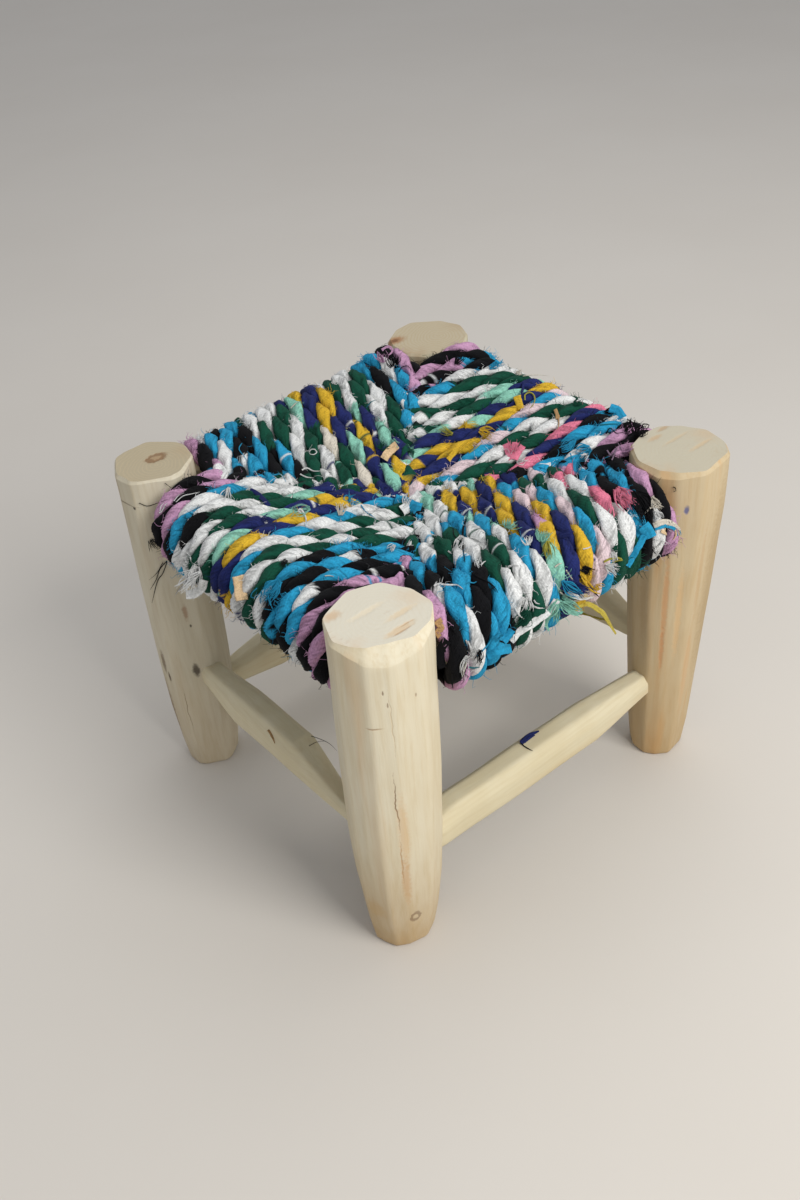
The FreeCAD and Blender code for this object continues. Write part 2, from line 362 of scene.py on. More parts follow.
# directions of the facets' corners, in degrees: the near leg's are measured, the others wander evenly
chance = np.random.default_rng(5)
facet_turns = [(178, 199, 218, 243, 278, 310, 342, 374, 408, 446, 496)]
facet_count = len(facet_shares)
facet_turns += [[(facet + chance.uniform(-0.33, 0.33)) * 360 / facet_count for facet in range(facet_count)]
                for _ in range(3)]
foot_shifts = ((-7.0, 5.0), (-1.5, 1.5), (7.0, -5.0), (-9.0, -10.0))
top_shifts = ((-2.2, 2.2), (0.0, 0.0), (0.0, 0.0), (0.0, 0.0))
raised = (3.2, 0.0, 0.0, 0.0)                   # the near leg is the tallest


def corner_place(corner, height):
    """Corner of the seat's square at a height, in millimetres."""
    x = half_spacing if corner in (1, 2) else -half_spacing
    y = half_spacing if corner in (2, 3) else -half_spacing
    return Vector((x, y, height))


def leg_axis(corner, height):
    """Centre of a leaning leg at a height."""
    share = height / leg_height
    shift = Vector(foot_shifts[corner]) * (1 - share) + Vector(top_shifts[corner]) * share
    return corner_place(corner, height) + Vector((shift.x, shift.y, 0))


def leg_radius_at(corner, height):
    """Radius at the facets' corners."""
    heights, growths = zip(*swells[corner])
    growth = float(np.interp(height / leg_height, heights, growths))
    return leg_sizes[corner] * (foot_share + (1 - foot_share) * growth)


def wave(seed, value):
    """A smooth wandering value between -1 and 1 that depends on a seed."""
    return (math.sin(value * 1.7 + seed * 12.9) + math.sin(value * 3.1 + seed * 4.7) * 0.6
            + math.sin(value * 0.6 + seed * 7.3)) / 2.6


# %% Leg meshes
steps_per_facet, rings_per_leg = 7, 58
corner_wander, radius_wander = 2.2, 0.006       # in degrees, and as a share of the radius
facet_middle = 0.965            # distance of a facet's middle from the axis, as a share of its corners'
cut_room = 13.0                 # the chamfer's cut starts no lower than this below the top
cut_slope = 0.72                # how far the chamfer runs inward, as a share of its height
below_cut = 0.25                # share of the rings at the top that lie below the chamfer


def softened(corners, steps):
    """A ring of points on the straight lines between corners, with its edges a little rounded."""
    pairs = zip(corners, corners[1:] + corners[:1])
    ring = [here.lerp(beyond, step / steps) for here, beyond in pairs for step in range(steps)]
    return [(ring[i - 1] + ring[i] * 2 + ring[(i + 1) % len(ring)]) / 4 for i in range(len(ring))]


def ring_faces(ring_count, count):
    """Faces between rings of points that follow each other, as four numbers of points each."""
    return [(low + here, low + (here + 1) % count, low + count + (here + 1) % count, low + count + here)
            for low in range(0, (ring_count - 1) * count, count) for here in range(count)]


def ring_of(corner, height, inset, seed):
    """Points round a leg at a height, drawn in by an inset."""
    centre = leg_axis(corner, height)
    corners = []
    for index, share in enumerate(facet_shares):
        angle = math.radians(facet_turns[corner][index] + corner_wander * wave(seed + index, height / 45))
        radius = leg_radius_at(corner, height) * (share + radius_wander * wave(seed + 3 * index, height / 30))
        corners.append(Vector((math.cos(angle), math.sin(angle))) * radius)
    points = []
    for flat in softened(corners, steps_per_facet):
        flat = flat * (1 - inset / flat.length)
        points.append((centre.x + flat.x, centre.y + flat.y, height))
    return points


def leg_mesh(corner, chamfer):
    """A leg from the foot to its sawn top. The chamfer gives the cut's height at every angle."""
    seed = corner * 5.1 + 1
    tall = leg_height + raised[corner]
    start = tall - cut_room
    centre = leg_axis(corner, tall)
    levels = [(0.0, 1.6), (0.7, 0.6), (1.8, 0.1), (3.5, 0.0)]
    levels += [(float(height), 0.0) for height in np.linspace(8, start - 2, rings_per_leg)]
    rings = [ring_of(corner, height, inset, seed) for height, inset in levels]
    base = ring_of(corner, start, 0.0, seed)
    for share, drawn in ((0.0, 0.0), (0.22, 0.0), (0.25, 0.02), (0.6, 0.47), (0.97, 0.97), (1.0, 1.0)):
        ring = []
        for x, y, _ in base:
            cut = chamfer(math.atan2(y - centre.y, x - centre.x))
            flat = Vector((x - centre.x, y - centre.y))
            flat = flat * (1 - drawn * cut * cut_slope / flat.length)
            top = tall - cut
            if share <= below_cut:
                height = start + (top - start) * (share / below_cut)
            else:
                height = top + cut * (share - below_cut) / (1 - below_cut)
            ring.append((centre.x + flat.x, centre.y + flat.y, height))
        rings.append(ring)
    rim = rings[-1]
    for inward in (0.72, 0.42, 0.16):
        ring = []
        for x, y, _ in rim:
            flat = Vector((x - centre.x, y - centre.y)) * inward
            lift = 0.25 * wave(seed, flat.x / 6) - 0.1
            ring.append((centre.x + flat.x, centre.y + flat.y, tall + min(0.0, lift)))
        rings.append(ring)
    count = len(rim)
    points = [Vector(point) * mm for ring in rings for point in ring]
    points += [centre * mm, leg_axis(corner, 0) * mm]
    last = (len(rings) - 1) * count
    top_point, foot_point = len(points) - 2, len(points) - 1
    faces = ring_faces(len(rings), count)
    faces += [(last + here, last + (here + 1) % count, top_point) for here in range(count)]
    faces += [((here + 1) % count, here, foot_point) for here in range(count)]
    return points, faces


# how high the chamfer's cut reaches down in each direction, in millimetres
chamfers = (lambda a: 1.0 + 8.4 * max(0.0, math.cos(a + 2.05)) ** 2 + 0.5 * math.sin(5 * a),
            lambda a: 2.0 + 1.5 * max(0.0, math.cos(a + 2.6)) ** 2 + 0.5 * math.sin(4 * a),
            lambda a: 2.4 + 0.6 * math.sin(3 * a),
            lambda a: 2.0 + 0.5 * math.sin(4 * a + 1))


def on_leg(corner, turn, height):
    """Place on a leg's surface, in metres."""
    angle = math.radians(turn)
    radius = leg_radius_at(corner, height) * facet_middle
    return (leg_axis(corner, height) + Vector((math.cos(angle), math.sin(angle), 0)) * radius) * mm


# %% Marks on the legs
# kind, direction in degrees, height, half width, half height, colour, amount
leg_marks = (
    (("crack", 237, 140, 0.6, 30, (118, 82, 50), 0.75), ("crack", 238, 90, 0.6, 27, (172, 126, 80), 0.6),
     ("crack", 239, 202, 0.5, 30, (190, 164, 122), 0.45), ("spot", 243, 116, 4.5, 42, (206, 164, 112), 0.4),
     ("spot", 242, 72, 4.0, 30, (190, 142, 90), 0.45), ("spot", 196, 40, 9.0, 11, (196, 158, 102), 0.35),
     ("ring", 253, 32, 4.0, 5.0, (118, 92, 68), 0.6), ("spot", 220, 201, 6.0, 0.8, (150, 108, 66), 0.6),
     ("spot", 232, 226, 0.7, 2.2, (112, 84, 60), 0.7), ("spot", 236, 217, 0.6, 2.6, (122, 92, 64), 0.6),
     ("spot", 268, 218, 0.7, 1.8, (132, 100, 70), 0.6)),
    (("spot", 231, 224, 2.2, 4.4, (84, 92, 138), 0.85), ("spot", 215, 150, 2.6, 52, (204, 148, 98), 0.6),
     ("spot", 215, 108, 2.0, 26, (196, 134, 84), 0.5), ("spot", 235, 138, 3.0, 52, (216, 178, 128), 0.5),
     ("spot", 183, 148, 5.0, 60, (180, 152, 114), 0.5), ("spot", 263, 170, 3.4, 50, (184, 150, 108), 0.45),
     # the front right leg's last mark, at 304 degrees, is painted shade down the side turned from the light
     ("spot", 262, 84, 5.0, 50, (202, 156, 106), 0.4), ("spot", 304, 150, 15.0, 120, (164, 142, 106), 0.6)),
    (("spot", 240, 190, 3.0, 30, (180, 136, 90), 0.5),),
    (("spot", 205, 230, 1.6, 1.6, (40, 34, 30), 0.9), ("spot", 185, 231, 15.0, 0.9, (120, 106, 84), 0.65),
     ("spot", 243, 95, 3.6, 7.5, (60, 48, 38), 0.85), ("spot", 249, 134, 0.9, 1.8, (52, 42, 36), 0.8),
     ("spot", 245, 146, 2.4, 9, (152, 112, 84), 0.6), ("spot", 186, 100, 3.0, 14, (98, 74, 48), 0.7),
     ("spot", 172, 50, 4.0, 44, (112, 86, 56), 0.6), ("spot", 193, 88, 1.8, 6, (72, 52, 36), 0.85),
     ("crack", 215, 60, 0.5, 26, (120, 94, 66), 0.6)))
# on the sawn tops: kind, place beside the axis along x and y, half widths, colour, amount
top_marks = (
    (("spot", (2, -16), 14.0, 3.4, (206, 176, 134), 0.6), ("spot", (1.3, -18), 9.0, 0.9, (178, 136, 92), 0.5),
     ("spot", (7, -14.8), 7.0, 0.7, (180, 140, 96), 0.45), ("spot", (11, -6), 13.0, 3.0, (212, 186, 146), 0.5),
     ("spot", (-17, 18), 8.0, 5.0, (194, 156, 112), 0.55), ("spot", (-2, 8), 16.0, 3.0, (222, 206, 176), 0.5)),
    (("spot", (0, 20), 8.0, 3.0, (186, 150, 108), 0.5), ("spot", (12, -6), 14.0, 2.4, (196, 168, 128), 0.5),
     ("spot", (8, 10), 16.0, 2.0, (192, 168, 132), 0.45), ("spot", (13, 24), 8.0, 2.6, (168, 128, 86), 0.5)),
    (("spot", (-20.5, 14), 12.0, 7.5, (154, 106, 64), 0.8), ("spot", (-20.5, 14), 5.0, 3.6, (100, 62, 34), 0.7)),
    (("spot", (3, 1), 10.0, 7.0, (150, 112, 72), 0.55), ("ring", (3, 1), 8.0, 5.4, (120, 88, 56), 0.7)))

# %% Legs
# light, dark and streak colours, amount of streaks, colour of the sawn end, amount of rings on it
leg_tones = (
    (sapwood, latewood, amber, 0.3, linear(206, 200, 183), 0.06),
    (linear(197, 179, 145), linear(182, 154, 112), amber, 0.7, linear(182, 175, 155), 0.05),
    (linear(190, 184, 158), linear(168, 146, 112), linear(150, 112, 74), 0.4, linear(178, 166, 140), 0.3),
    # the left leg's sawn end is darker partly for darker wood and partly as painted shade
    (linear(206, 198, 176), linear(182, 167, 136), linear(164, 134, 96), 0.3, linear(170, 158, 132), 0.4))
foot_stains = (0.75, 0.5, 0.5, 0.3)             # how brown each foot is
leg_middle = 125.0
pith_shift = Vector((0.003, -0.002, 0))         # the pith isn't quite in the middle
sharpest_smooth_edge = math.radians(28)
for corner, name in enumerate(leg_names):
    marks = [(kind, on_leg(corner, turn, height), turn, width * mm, tall * mm, linear(*tone), share)
             for kind, turn, height, width, tall, tone, share in leg_marks[corner]]
    marks += [(kind, (leg_axis(corner, leg_height) + Vector((*beside, 0))) * mm, None, wide * mm, deep * mm,
               linear(*tone), share) for kind, beside, wide, deep, tone, share in top_marks[corner]]
    finish = wood_finish("hewn_wood_" + name, leg_axis(corner, leg_middle) * mm + pith_shift, (0, 0, 1),
                         leg_tones[corner], foot_stains[corner], marks)
    points, faces = leg_mesh(corner, chamfers[corner])
    leg = new_mesh_object("hewn_leg_" + name, points, faces, finish)
    leg.data.set_sharp_from_angle(angle=sharpest_smooth_edge)
    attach(leg, body)
    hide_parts("leg_" + name)
    print(leg.name, "faces:", len(faces))

# %% [markdown]
# ## Seat rails
# The rope hides nearly all of the rails, so the construction's own round rails
# stay, and only get the finish of the same wood.

# %% Seat rails
rail_height, rail_radius = 218.0, 18.0
for side, name in enumerate(side_names):
    along = ((1, 0, 0), (0, 1, 0))[side % 2]
    middle = corner_place(side, rail_height).lerp(corner_place((side + 1) % 4, rail_height), 0.5) * mm
    finish = wood_finish("rail_wood_" + name, middle, along, (sapwood, latewood, amber, 0.3, sapwood, 0.3))
    for slot in frame["nodes"]["seat_rail_" + name].material_slots:
        slot.material = finish

# %% [markdown]
# ## Stretchers
# A stretcher is hewn flat on eight sides and cut to a point at each end, where it
# goes into the leg. Four cross-sections describe it. Between them the corners run
# straight, and short rounding of the ring of points softens the edges.

# %% Sizes of the stretchers
# at each end: height of the axis, depth of the neck, length of its free part, length of the point
stretcher_ends = (((67.0, 27.0, 0.0, 16.0), (70.0, 19.0, 0.0, 52.0)),
                  ((92.0, 16.0, 3.0, 36.0), (94.0, 19.0, 0.0, 44.0)),
                  ((60.0, 19.0, 0.0, 38.0), (58.0, 18.0, 0.0, 42.0)),
                  ((90.0, 19.0, 0.0, 40.0), (63.0, 14.0, 24.0, 46.0)))
cuts_from_above = ((0.0, -0.3), (0.8, 0.2), (0.1, 0.2), (0.1, 0.9))
stretcher_depth, stretcher_width, neck_width_share = 32.0, 23.0, 0.9
hewn_corners = ((-0.5, -0.3), (-0.28, -0.5), (0.24, -0.5), (0.5, -0.26),
                (0.5, 0.22), (0.3, 0.5), (-0.22, 0.5), (-0.5, 0.3))
neck_in_leg, shoulder_gap = 9.0, 0.3
steps_per_side, rings_per_stretcher = 6, 72
stretcher_tones = (linear(214, 204, 174), linear(198, 182, 142), linear(206, 180, 132), 0.3, sapwood, 0.3)
stretcher_pith = Vector((0, 0, -0.03))          # below the piece, so that the rings run flat through it


# %% Stretcher meshes
def stretcher_knots(side, span):
    """Distance, width, depth and lift of the cross-sections between which a stretcher runs straight."""
    stations = []
    for corner, end, share in zip((side, (side + 1) % 4), stretcher_ends[side], cuts_from_above[side]):
        height, neck, tongue, point = end
        shoulder = leg_radius_at(corner, height + neck / 2) + shoulder_gap + tongue
        lift = (stretcher_depth - neck) / 2 * share
        hidden = (shoulder - neck_in_leg, neck * neck_width_share * 0.94, neck * 0.94, 0.0)
        if tongue:
            hidden = (shoulder - tongue - neck_in_leg, neck * 0.66, neck * 0.8, 0.0)
        stations.append([hidden, (shoulder, neck * neck_width_share, neck, 0.0),
                         (shoulder + point, stretcher_width, stretcher_depth, lift)])
    first, second = stations
    return first + [(span - distance, *sizes) for distance, *sizes in reversed(second)]


def stretcher_mesh(side):
    """Points and faces of a hewn stretcher, from inside one leg to inside the next."""
    first, second = stretcher_ends[side]
    start, end = leg_axis(side, first[0]), leg_axis((side + 1) % 4, second[0])
    along = (end - start).normalized()
    across = along.cross(Vector((0, 0, 1))).normalized()
    upright = across.cross(along)
    knots = stretcher_knots(side, (end - start).length)
    distances = [knot[0] for knot in knots]
    seed = side * 3.3 + 2
    rings = []
    places = list(np.linspace(distances[0], distances[-1], rings_per_stretcher)) + distances
    for distance in sorted(set(places)):
        width, depth, lift = (float(np.interp(distance, distances, [knot[part] for knot in knots]))
                              for part in (1, 2, 3))
        corners = []
        for index, (x, z) in enumerate(hewn_corners):
            drift = 0.018 * wave(seed + index, distance / 26)
            rise = 0.012 * wave(seed + 2 * index, distance / 19)
            corners.append(Vector(((x + drift) * width, (z + rise) * depth)))
        centre = start + along * distance + upright * lift
        rings.append([(centre + across * p.x + upright * p.y) * mm for p in softened(corners, steps_per_side)])
    count = len(rings[0])
    points = [point for ring in rings for point in ring]
    faces = [(a, d, c, b) for a, b, c, d in ring_faces(len(rings), count)]
    faces.append(tuple(range(count)))
    faces.append(tuple(reversed(range(len(points) - count, len(points)))))
    return points, faces, start, along


for side, name in enumerate(side_names):
    points, faces, start, along = stretcher_mesh(side)
    finish = wood_finish("stretcher_wood_" + name, start * mm + stretcher_pith, along, stretcher_tones)
    stretcher = new_mesh_object("hewn_stretcher_" + name, points, faces, finish)
    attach(stretcher, body)
    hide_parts("stretcher_" + name)
    print(stretcher.name, "faces:", len(faces))

# %% [markdown]
# ## The line of the rope
# The rope of a field goes over its rail, inward to the seam, down, back under the
# rail and up again, sixteen times. Its line is worked out for one side, with x
# along the rail, y inward and z up, and then turned to its place. The rows of the
# front and rear fields lie askew on their rails, those of the others only a little.

# %% Sizes of the rope
row_count = 16
rope_half = 6.2                # half the rope's thickness
wrap_radius = rail_radius + rope_half - 0.4
seat_dip, belly_drop = 25.0, 7.0
seam_bend = 9.0                # radius of the bends where a row dives at the seam
lay_lengths = (48.0, 38.0, 44.0, 36.0)         # along the rope, for one full turn of its strands
skews = ((0.25, 0.25), (-0.12, 0.10), (0.02, 0.14), (-0.08, -0.08))    # of the first and last rows
climbs = ((0.0, 0.0), (0.0, 6.5), (6.5, 0.0), (0.0, 0.0))      # of the first and last rows, up their legs
climbing_rows = 2.5
first_places = (34.5, 35.0, 35.0, 35.0)
last_places = (205.0, 206.0, 205.0, 204.0)
pulls = (2.6, 0.0, 0.0, 0.0)                     # how much closer the first row lies to its leg
seam_laps = (3.0, 6.0, 3.0, 6.0)
seam_curls = (0.0, 0.0, 0.0, 9.0)              # how far the later rows bend along the rail at the seam
waver_length, swelling_length = 60.0, 26.0     # over which the lay and the thickness of the rope vary
smoothed_over = 9              # points of the line, 1 mm apart, that are blended into one


def row_profile(reach, outer_lift):
    """Line of one turn of the rope in the plane across the rail, from the seam's bottom round to it again.

    Gives the places along y and z and the share of a turn that they are at."""
    dip = math.atan(seat_dip / half_spacing)
    belly = math.atan(belly_drop / half_spacing)
    quarter = math.pi / 2

    def top(y):
        return rail_height + (wrap_radius - y * math.sin(dip)) / math.cos(dip)

    def under(y):
        return rail_height - (wrap_radius + y * math.sin(belly)) / math.cos(belly)

    inner = reach - seam_bend
    flat_steps = max(4, int(abs(inner) / 3))
    points = [(y, top(y), 0.0) for y in np.linspace(inner, wrap_radius * math.sin(dip), flat_steps)]
    for angle in np.linspace(quarter - dip, -quarter - belly, 26)[1:-1]:
        share = (quarter - dip - angle) / (math.pi - dip + belly)
        points.append((-math.cos(angle) * (wrap_radius + outer_lift),
                       rail_height + math.sin(angle) * wrap_radius, share * 0.5))
    points += [(y, under(y), 0.5) for y in np.linspace(-wrap_radius * math.sin(belly), inner, flat_steps)]
    low, high = under(inner) + seam_bend, top(inner) - seam_bend
    nose = [(inner + seam_bend * math.cos(angle), low + seam_bend * math.sin(angle))
            for angle in np.linspace(-quarter, 0, 7)[1:]]
    nose += [(inner + seam_bend, z) for z in np.linspace(low, high, 5)[1:-1]]
    nose += [(inner + seam_bend * math.cos(angle), high + seam_bend * math.sin(angle))
             for angle in np.linspace(0, quarter, 7)[:-1]]
    points += [(y, z, 0.5 + 0.5 * (index + 1) / (len(nose) + 1)) for index, (y, z) in enumerate(nose)]
    return points


# %% Lines of the four fields
def varying(chance, even, length):
    """A value between -1 and 1 that varies along the rope, with a new one after each length."""
    values = chance.uniform(-1, 1, int(even[-1] / length) + 2)
    return np.interp(even, np.arange(0, even[-1] + length, length), values)


def rope_line(side):
    """Points of a field's rope in the stool's frame, with row, lay angle, fullness and place inward at each."""
    chance = np.random.default_rng(40 + side)
    pitch = (last_places[side] - first_places[side]) / (row_count - 1)
    line, rows = [], []
    for row in range(row_count):
        x0 = first_places[side] + row * pitch - pulls[side] * max(0.0, 1 - row / 2)
        skew = skews[side][0] + (skews[side][1] - skews[side][0]) * row / (row_count - 1)
        reach = min(x0 / (1 - skew), (2 * half_spacing - x0) / (1 + skew)) + seam_laps[side]
        reach = min(reach, half_spacing + 2.0) + chance.uniform(-1.2, 1.2)
        lift = chance.uniform(-0.8, 1.0)
        wobble, height_wobble = chance.uniform(-1, 1), chance.uniform(-0.7, 0.7)
        climb = (climbs[side][0] * max(0.0, 1 - row / climbing_rows)
                 + climbs[side][1] * max(0.0, 1 - (row_count - 1 - row) / climbing_rows))
        late = min(1.0, max(0.0, (row - 7.5) / 4))
        for y, z, share in row_profile(reach, lift):
            x = x0 + share * pitch + skew * y + wobble * 0.8 * math.sin(y / 22 + row)
            x += seam_curls[side] * max(0.0, y / half_spacing) ** 2 * 2 * late
            z += height_wobble * max(0.0, min(1.0, y / 20)) + climb * max(0.0, math.cos(2 * math.pi * share))
            line.append((x, y, z))
            rows.append(row + share)
    line, rows = np.array(line), np.array(rows)
    steps = np.concatenate([[0], np.cumsum(np.linalg.norm(np.diff(line, axis=0), axis=1))])
    even = np.arange(0, steps[-1], 1.0)
    line = np.stack([np.interp(even, steps, line[:, part]) for part in range(3)], axis=1)
    rows = np.interp(even, steps, rows)
    weights = np.hanning(smoothed_over) / np.hanning(smoothed_over).sum()
    beside = smoothed_over // 2
    padded = np.pad(line, ((beside, beside), (0, 0)), mode="edge")
    line = np.stack([np.convolve(padded[:, part], weights, mode="valid") for part in range(3)], axis=1)
    waver = varying(chance, even, waver_length)
    turns = np.cumsum(np.concatenate([[0], np.diff(even)]) / (lay_lengths[side] * (1 + 0.2 * waver)))
    full = 1 + 0.06 * varying(chance, even, swelling_length)
    angle = math.pi / 2 * side
    x, y = line[:, 0] - half_spacing, line[:, 1] - half_spacing
    placed = np.stack([x * math.cos(angle) - y * math.sin(angle),
                       x * math.sin(angle) + y * math.cos(angle), line[:, 2]], axis=1)
    return placed * mm, rows, turns * 2 * math.pi + chance.uniform(0, 6.28), full, line[:, 1]


def store(mesh, name, kind, numbers):
    """Stores numbers at a mesh's points."""
    field = {"FLOAT": "value", "FLOAT_COLOR": "color", "FLOAT_VECTOR": "vector"}[kind]
    numbers = np.asarray(numbers, dtype=np.float32).ravel()
    mesh.attributes.new(name, kind, "POINT").data.foreach_set(field, numbers)


def line_object(name, points, values):
    """A chain of points as a mesh, with values stored at the points."""
    mesh = bpy.data.meshes.new(name)
    mesh.from_pydata(points.tolist(), [(i, i + 1) for i in range(len(points) - 1)], [])
    for key, numbers in values.items():
        store(mesh, key, "FLOAT", numbers)
    return put_in_scene(name, mesh)


# %% [markdown]
# ## Twisting the rope with Geometry Nodes
# Two strips of cloth, each rolled up, are twisted round each other. A Geometry
# Nodes tree draws the rope along its line: the line is turned about itself by the
# lay angle, and two flattened rings beside it are swept along. The folds of the
# cloth are small shifts of the surface along its own direction. Made by nodes, the
# rope can be thicker, tighter or more crumpled by changing one number.

# %% Parts of a tree
def new_group(name, inputs):
    """A Geometry Nodes tree with named inputs, and the sockets of these."""
    tree = bpy.data.node_groups.new(name, "GeometryNodeTree")
    tree.interface.new_socket("Geometry", in_out="INPUT", socket_type="NodeSocketGeometry")
    for label, kind, value in inputs:
        socket = tree.interface.new_socket(label, in_out="INPUT", socket_type=kind)
        if value is not None:
            socket.default_value = value
    tree.interface.new_socket("Geometry", in_out="OUTPUT", socket_type="NodeSocketGeometry")
    return tree, add(tree, "NodeGroupInput").outputs


def stored(tree, geometry, name, value):
    """Stores a value under a name at a geometry's points."""
    return made_by(tree, "GeometryNodeStoreNamedAttribute", {"Geometry": geometry, "Name": name, "Value": value},
                   data_type="FLOAT", domain="POINT")


def named(tree, name, kind="FLOAT"):
    """Reads a stored value."""
    return made_by(tree, "GeometryNodeInputNamedAttribute", {"Name": name}, data_type=kind)


def along_curve(tree, measure):
    """How far along its curve a point is: a Length, or a Factor between 0 and 1."""
    return add(tree, "GeometryNodeSplineParameter").outputs[measure]


def circle_of(tree, sides):
    """A circle of radius 1."""
    return made_by(tree, "GeometryNodeCurvePrimitiveCircle", {"Resolution": sides, "Radius": 1.0}, mode="RADIUS")


def swept(tree, curve, profile, fullness):
    """A profile swept along a curve with closed ends, as large as a stored value says."""
    return made_by(tree, "GeometryNodeCurveToMesh", {"Curve": curve, "Profile Curve": profile, "Fill Caps": True,
                                                     "Scale": named(tree, fullness)})


def shifted(tree, geometry, offset):
    """A geometry with its points moved."""
    return made_by(tree, "GeometryNodeSetPosition", {"Geometry": geometry, "Offset": offset})


def scaled(tree, vector, amount):
    """A vector made longer or shorter."""
    return made_by(tree, "ShaderNodeVectorMath", {0: vector, "Scale": amount}, operation="SCALE")


def end_tree(tree, geometry, cloth, smooth=True):
    """Ends a tree with real faces in their cloth."""
    if smooth:
        geometry = made_by(tree, "GeometryNodeSetShadeSmooth", {"Geometry": geometry})
    geometry = made_by(tree, "GeometryNodeRealizeInstances", {"Geometry": geometry})
    geometry = made_by(tree, "GeometryNodeSetMaterial", {"Geometry": geometry, "Material": cloth})
    tree.links.new(geometry, add(tree, "NodeGroupOutput").inputs[0])
    print(tree.name, "has", len(tree.nodes), "nodes")


# %% Rope tree
rope_tree, given = new_group("twisted_rag_rope", (
    ("Ring spacing", "NodeSocketFloat", 1.7 * mm), ("Sides", "NodeSocketInt", 18),
    ("Strand offset", "NodeSocketFloat", 2.7 * mm), ("Strand depth", "NodeSocketFloat", 3.7 * mm),
    ("Strand breadth", "NodeSocketFloat", 5.5 * mm), ("Fold depth", "NodeSocketFloat", 1.1 * mm),
    ("Seed", "NodeSocketFloat", 0.0), ("Cloth", "NodeSocketMaterial", None)))
tree = rope_tree
curve = made_by(tree, "GeometryNodeMeshToCurve", {0: given["Geometry"]})
curve = made_by(tree, "GeometryNodeResampleCurve", {"Curve": curve, "Length": given["Ring spacing"]},
                mode="LENGTH")
curve = made_by(tree, "GeometryNodeSetCurveTilt", {"Curve": curve, "Tilt": named(tree, "lay")})
curve = stored(tree, curve, "distance", along_curve(tree, "Length"))
size = vector_of(tree, given["Strand depth"], given["Strand breadth"], 1.0)
strands = []
for number, turn in enumerate((math.pi, 0.0)):
    ring = stored(tree, circle_of(tree, given["Sides"]), "around", along_curve(tree, "Factor"))
    shift = vector_of(tree, times(tree, given["Strand offset"], -math.cos(turn)))
    ring = made_by(tree, "GeometryNodeTransform", {"Geometry": ring, "Rotation": (0, 0, turn), "Scale": size})
    ring = made_by(tree, "GeometryNodeTransform", {"Geometry": ring, "Translation": shift})
    strands.append(stored(tree, swept(tree, curve, ring, "full"), "strand", float(number)))
both = add(tree, "GeometryNodeJoinGeometry")
for strand in strands:
    tree.links.new(strand, both.inputs[0])

# %% Folds of the strands
along_rope = named(tree, "distance")
slid = math_of(tree, "MULTIPLY_ADD", along_rope, 18.0, named(tree, "around"))
seeded = math_of(tree, "ADD", times(tree, named(tree, "strand"), 40.0), given["Seed"])
place = vector_of(tree, times(tree, slid, 5.0), times(tree, along_rope, 38.0), seeded)
folds = noise_of(tree, place, 1.0, 2.0, 0.5, 0.6)
ridges = times(tree, math_of(tree, "ABSOLUTE", math_of(tree, "SUBTRACT", folds, 0.5)), 5.0)
ridges = math_of(tree, "POWER", ridges, 0.7)
lumps = noise_of(tree, vector_math(tree, "MULTIPLY", place, (0.35, 1.6, 1.0)), 1.0, 1.0)
rise = math_of(tree, "ADD", times(tree, ridges, 0.8), math_of(tree, "MULTIPLY_ADD", lumps, 3.4, -2.3))
# the ridges are stored for the cloth's painted shade in the valleys between folds
folded = stored(tree, both.outputs[0], "fold", ridges)
outward = made_by(tree, "GeometryNodeInputNormal")
folded = shifted(tree, folded, scaled(tree, outward, times(tree, rise, given["Fold depth"])))
end_tree(tree, folded, given["Cloth"])


# %% Running a tree
def triangle_count(piece):
    """Triangles of a finished piece."""
    return sum(len(face.vertices) - 2 for face in piece.data.polygons)


def grown(name, source, group, values):
    """Runs a Geometry Nodes tree on an object and gives the result as a plain mesh object."""
    modifier = source.modifiers.new("nodes", "NODES")
    modifier.node_group = group
    for item in group.interface.items_tree:
        if item.item_type == "SOCKET" and item.in_out == "INPUT" and item.name in values:
            modifier[item.identifier] = values[item.name]
    bpy.context.view_layer.update()
    result = source.evaluated_get(bpy.context.evaluated_depsgraph_get())
    mesh = bpy.data.meshes.new_from_object(result)
    mesh.name = name
    bpy.data.objects.remove(source)
    return put_in_scene(name, mesh)


# %% [markdown]
# ## Rag cloth
# The strips are cotton, jersey and sheeting in a dozen colours. One material
# serves them all: it reads the colour of the strip from the mesh, and it reads
# how far round and along the strip a point is, so that weave and creases
# follow the cloth wherever the rope goes.
# It also darkens the cloth in the valleys between its folds, a painted shade.

# %% Cloth colours and material
cloths = {
    "black": (15, 15, 18), "mauve": (206, 158, 192), "white": (236, 237, 235), "cream": (226, 218, 202),
    "blue": (45, 160, 204), "green": (20, 78, 60), "navy": (38, 47, 104), "mint": (150, 213, 191),
    "mustard": (224, 182, 54), "hot_pink": (236, 132, 158), "pale_pink": (234, 212, 216)}
weft_width, warp_threads = 0.0015, 20           # of the weave: along the strip in metres, and round it
strip_round = 0.027                             # from one edge of a strip round to the other, in metres


def dyed(colour):
    """A cloth's colour by its name."""
    return linear(*cloths[colour])


rag_cloth, tree, shader = new_material("rag_cloth")
strip_colour, around, distance, fold = (
    add(tree, "ShaderNodeAttribute", attribute_name=name).outputs[output]
    for name, output in (("cloth_colour", "Color"), ("around", "Fac"), ("distance", "Fac"), ("fold", "Fac")))
cloth_place = vector_of(tree, times(tree, around, strip_round), distance)
weft = math_of(tree, "SINE", times(tree, distance, 2 * math.pi / weft_width))
warp = math_of(tree, "SINE", times(tree, around, 2 * math.pi * warp_threads))
weave = times(tree, weft, warp)
mottle = noise_of(tree, object_place(tree), 900.0, 2.0)
crumple = noise_of(tree, vector_math(tree, "MULTIPLY", cloth_place, (1.0, 0.3, 1.0)), 420.0, 3.0, 0.6, 0.5)
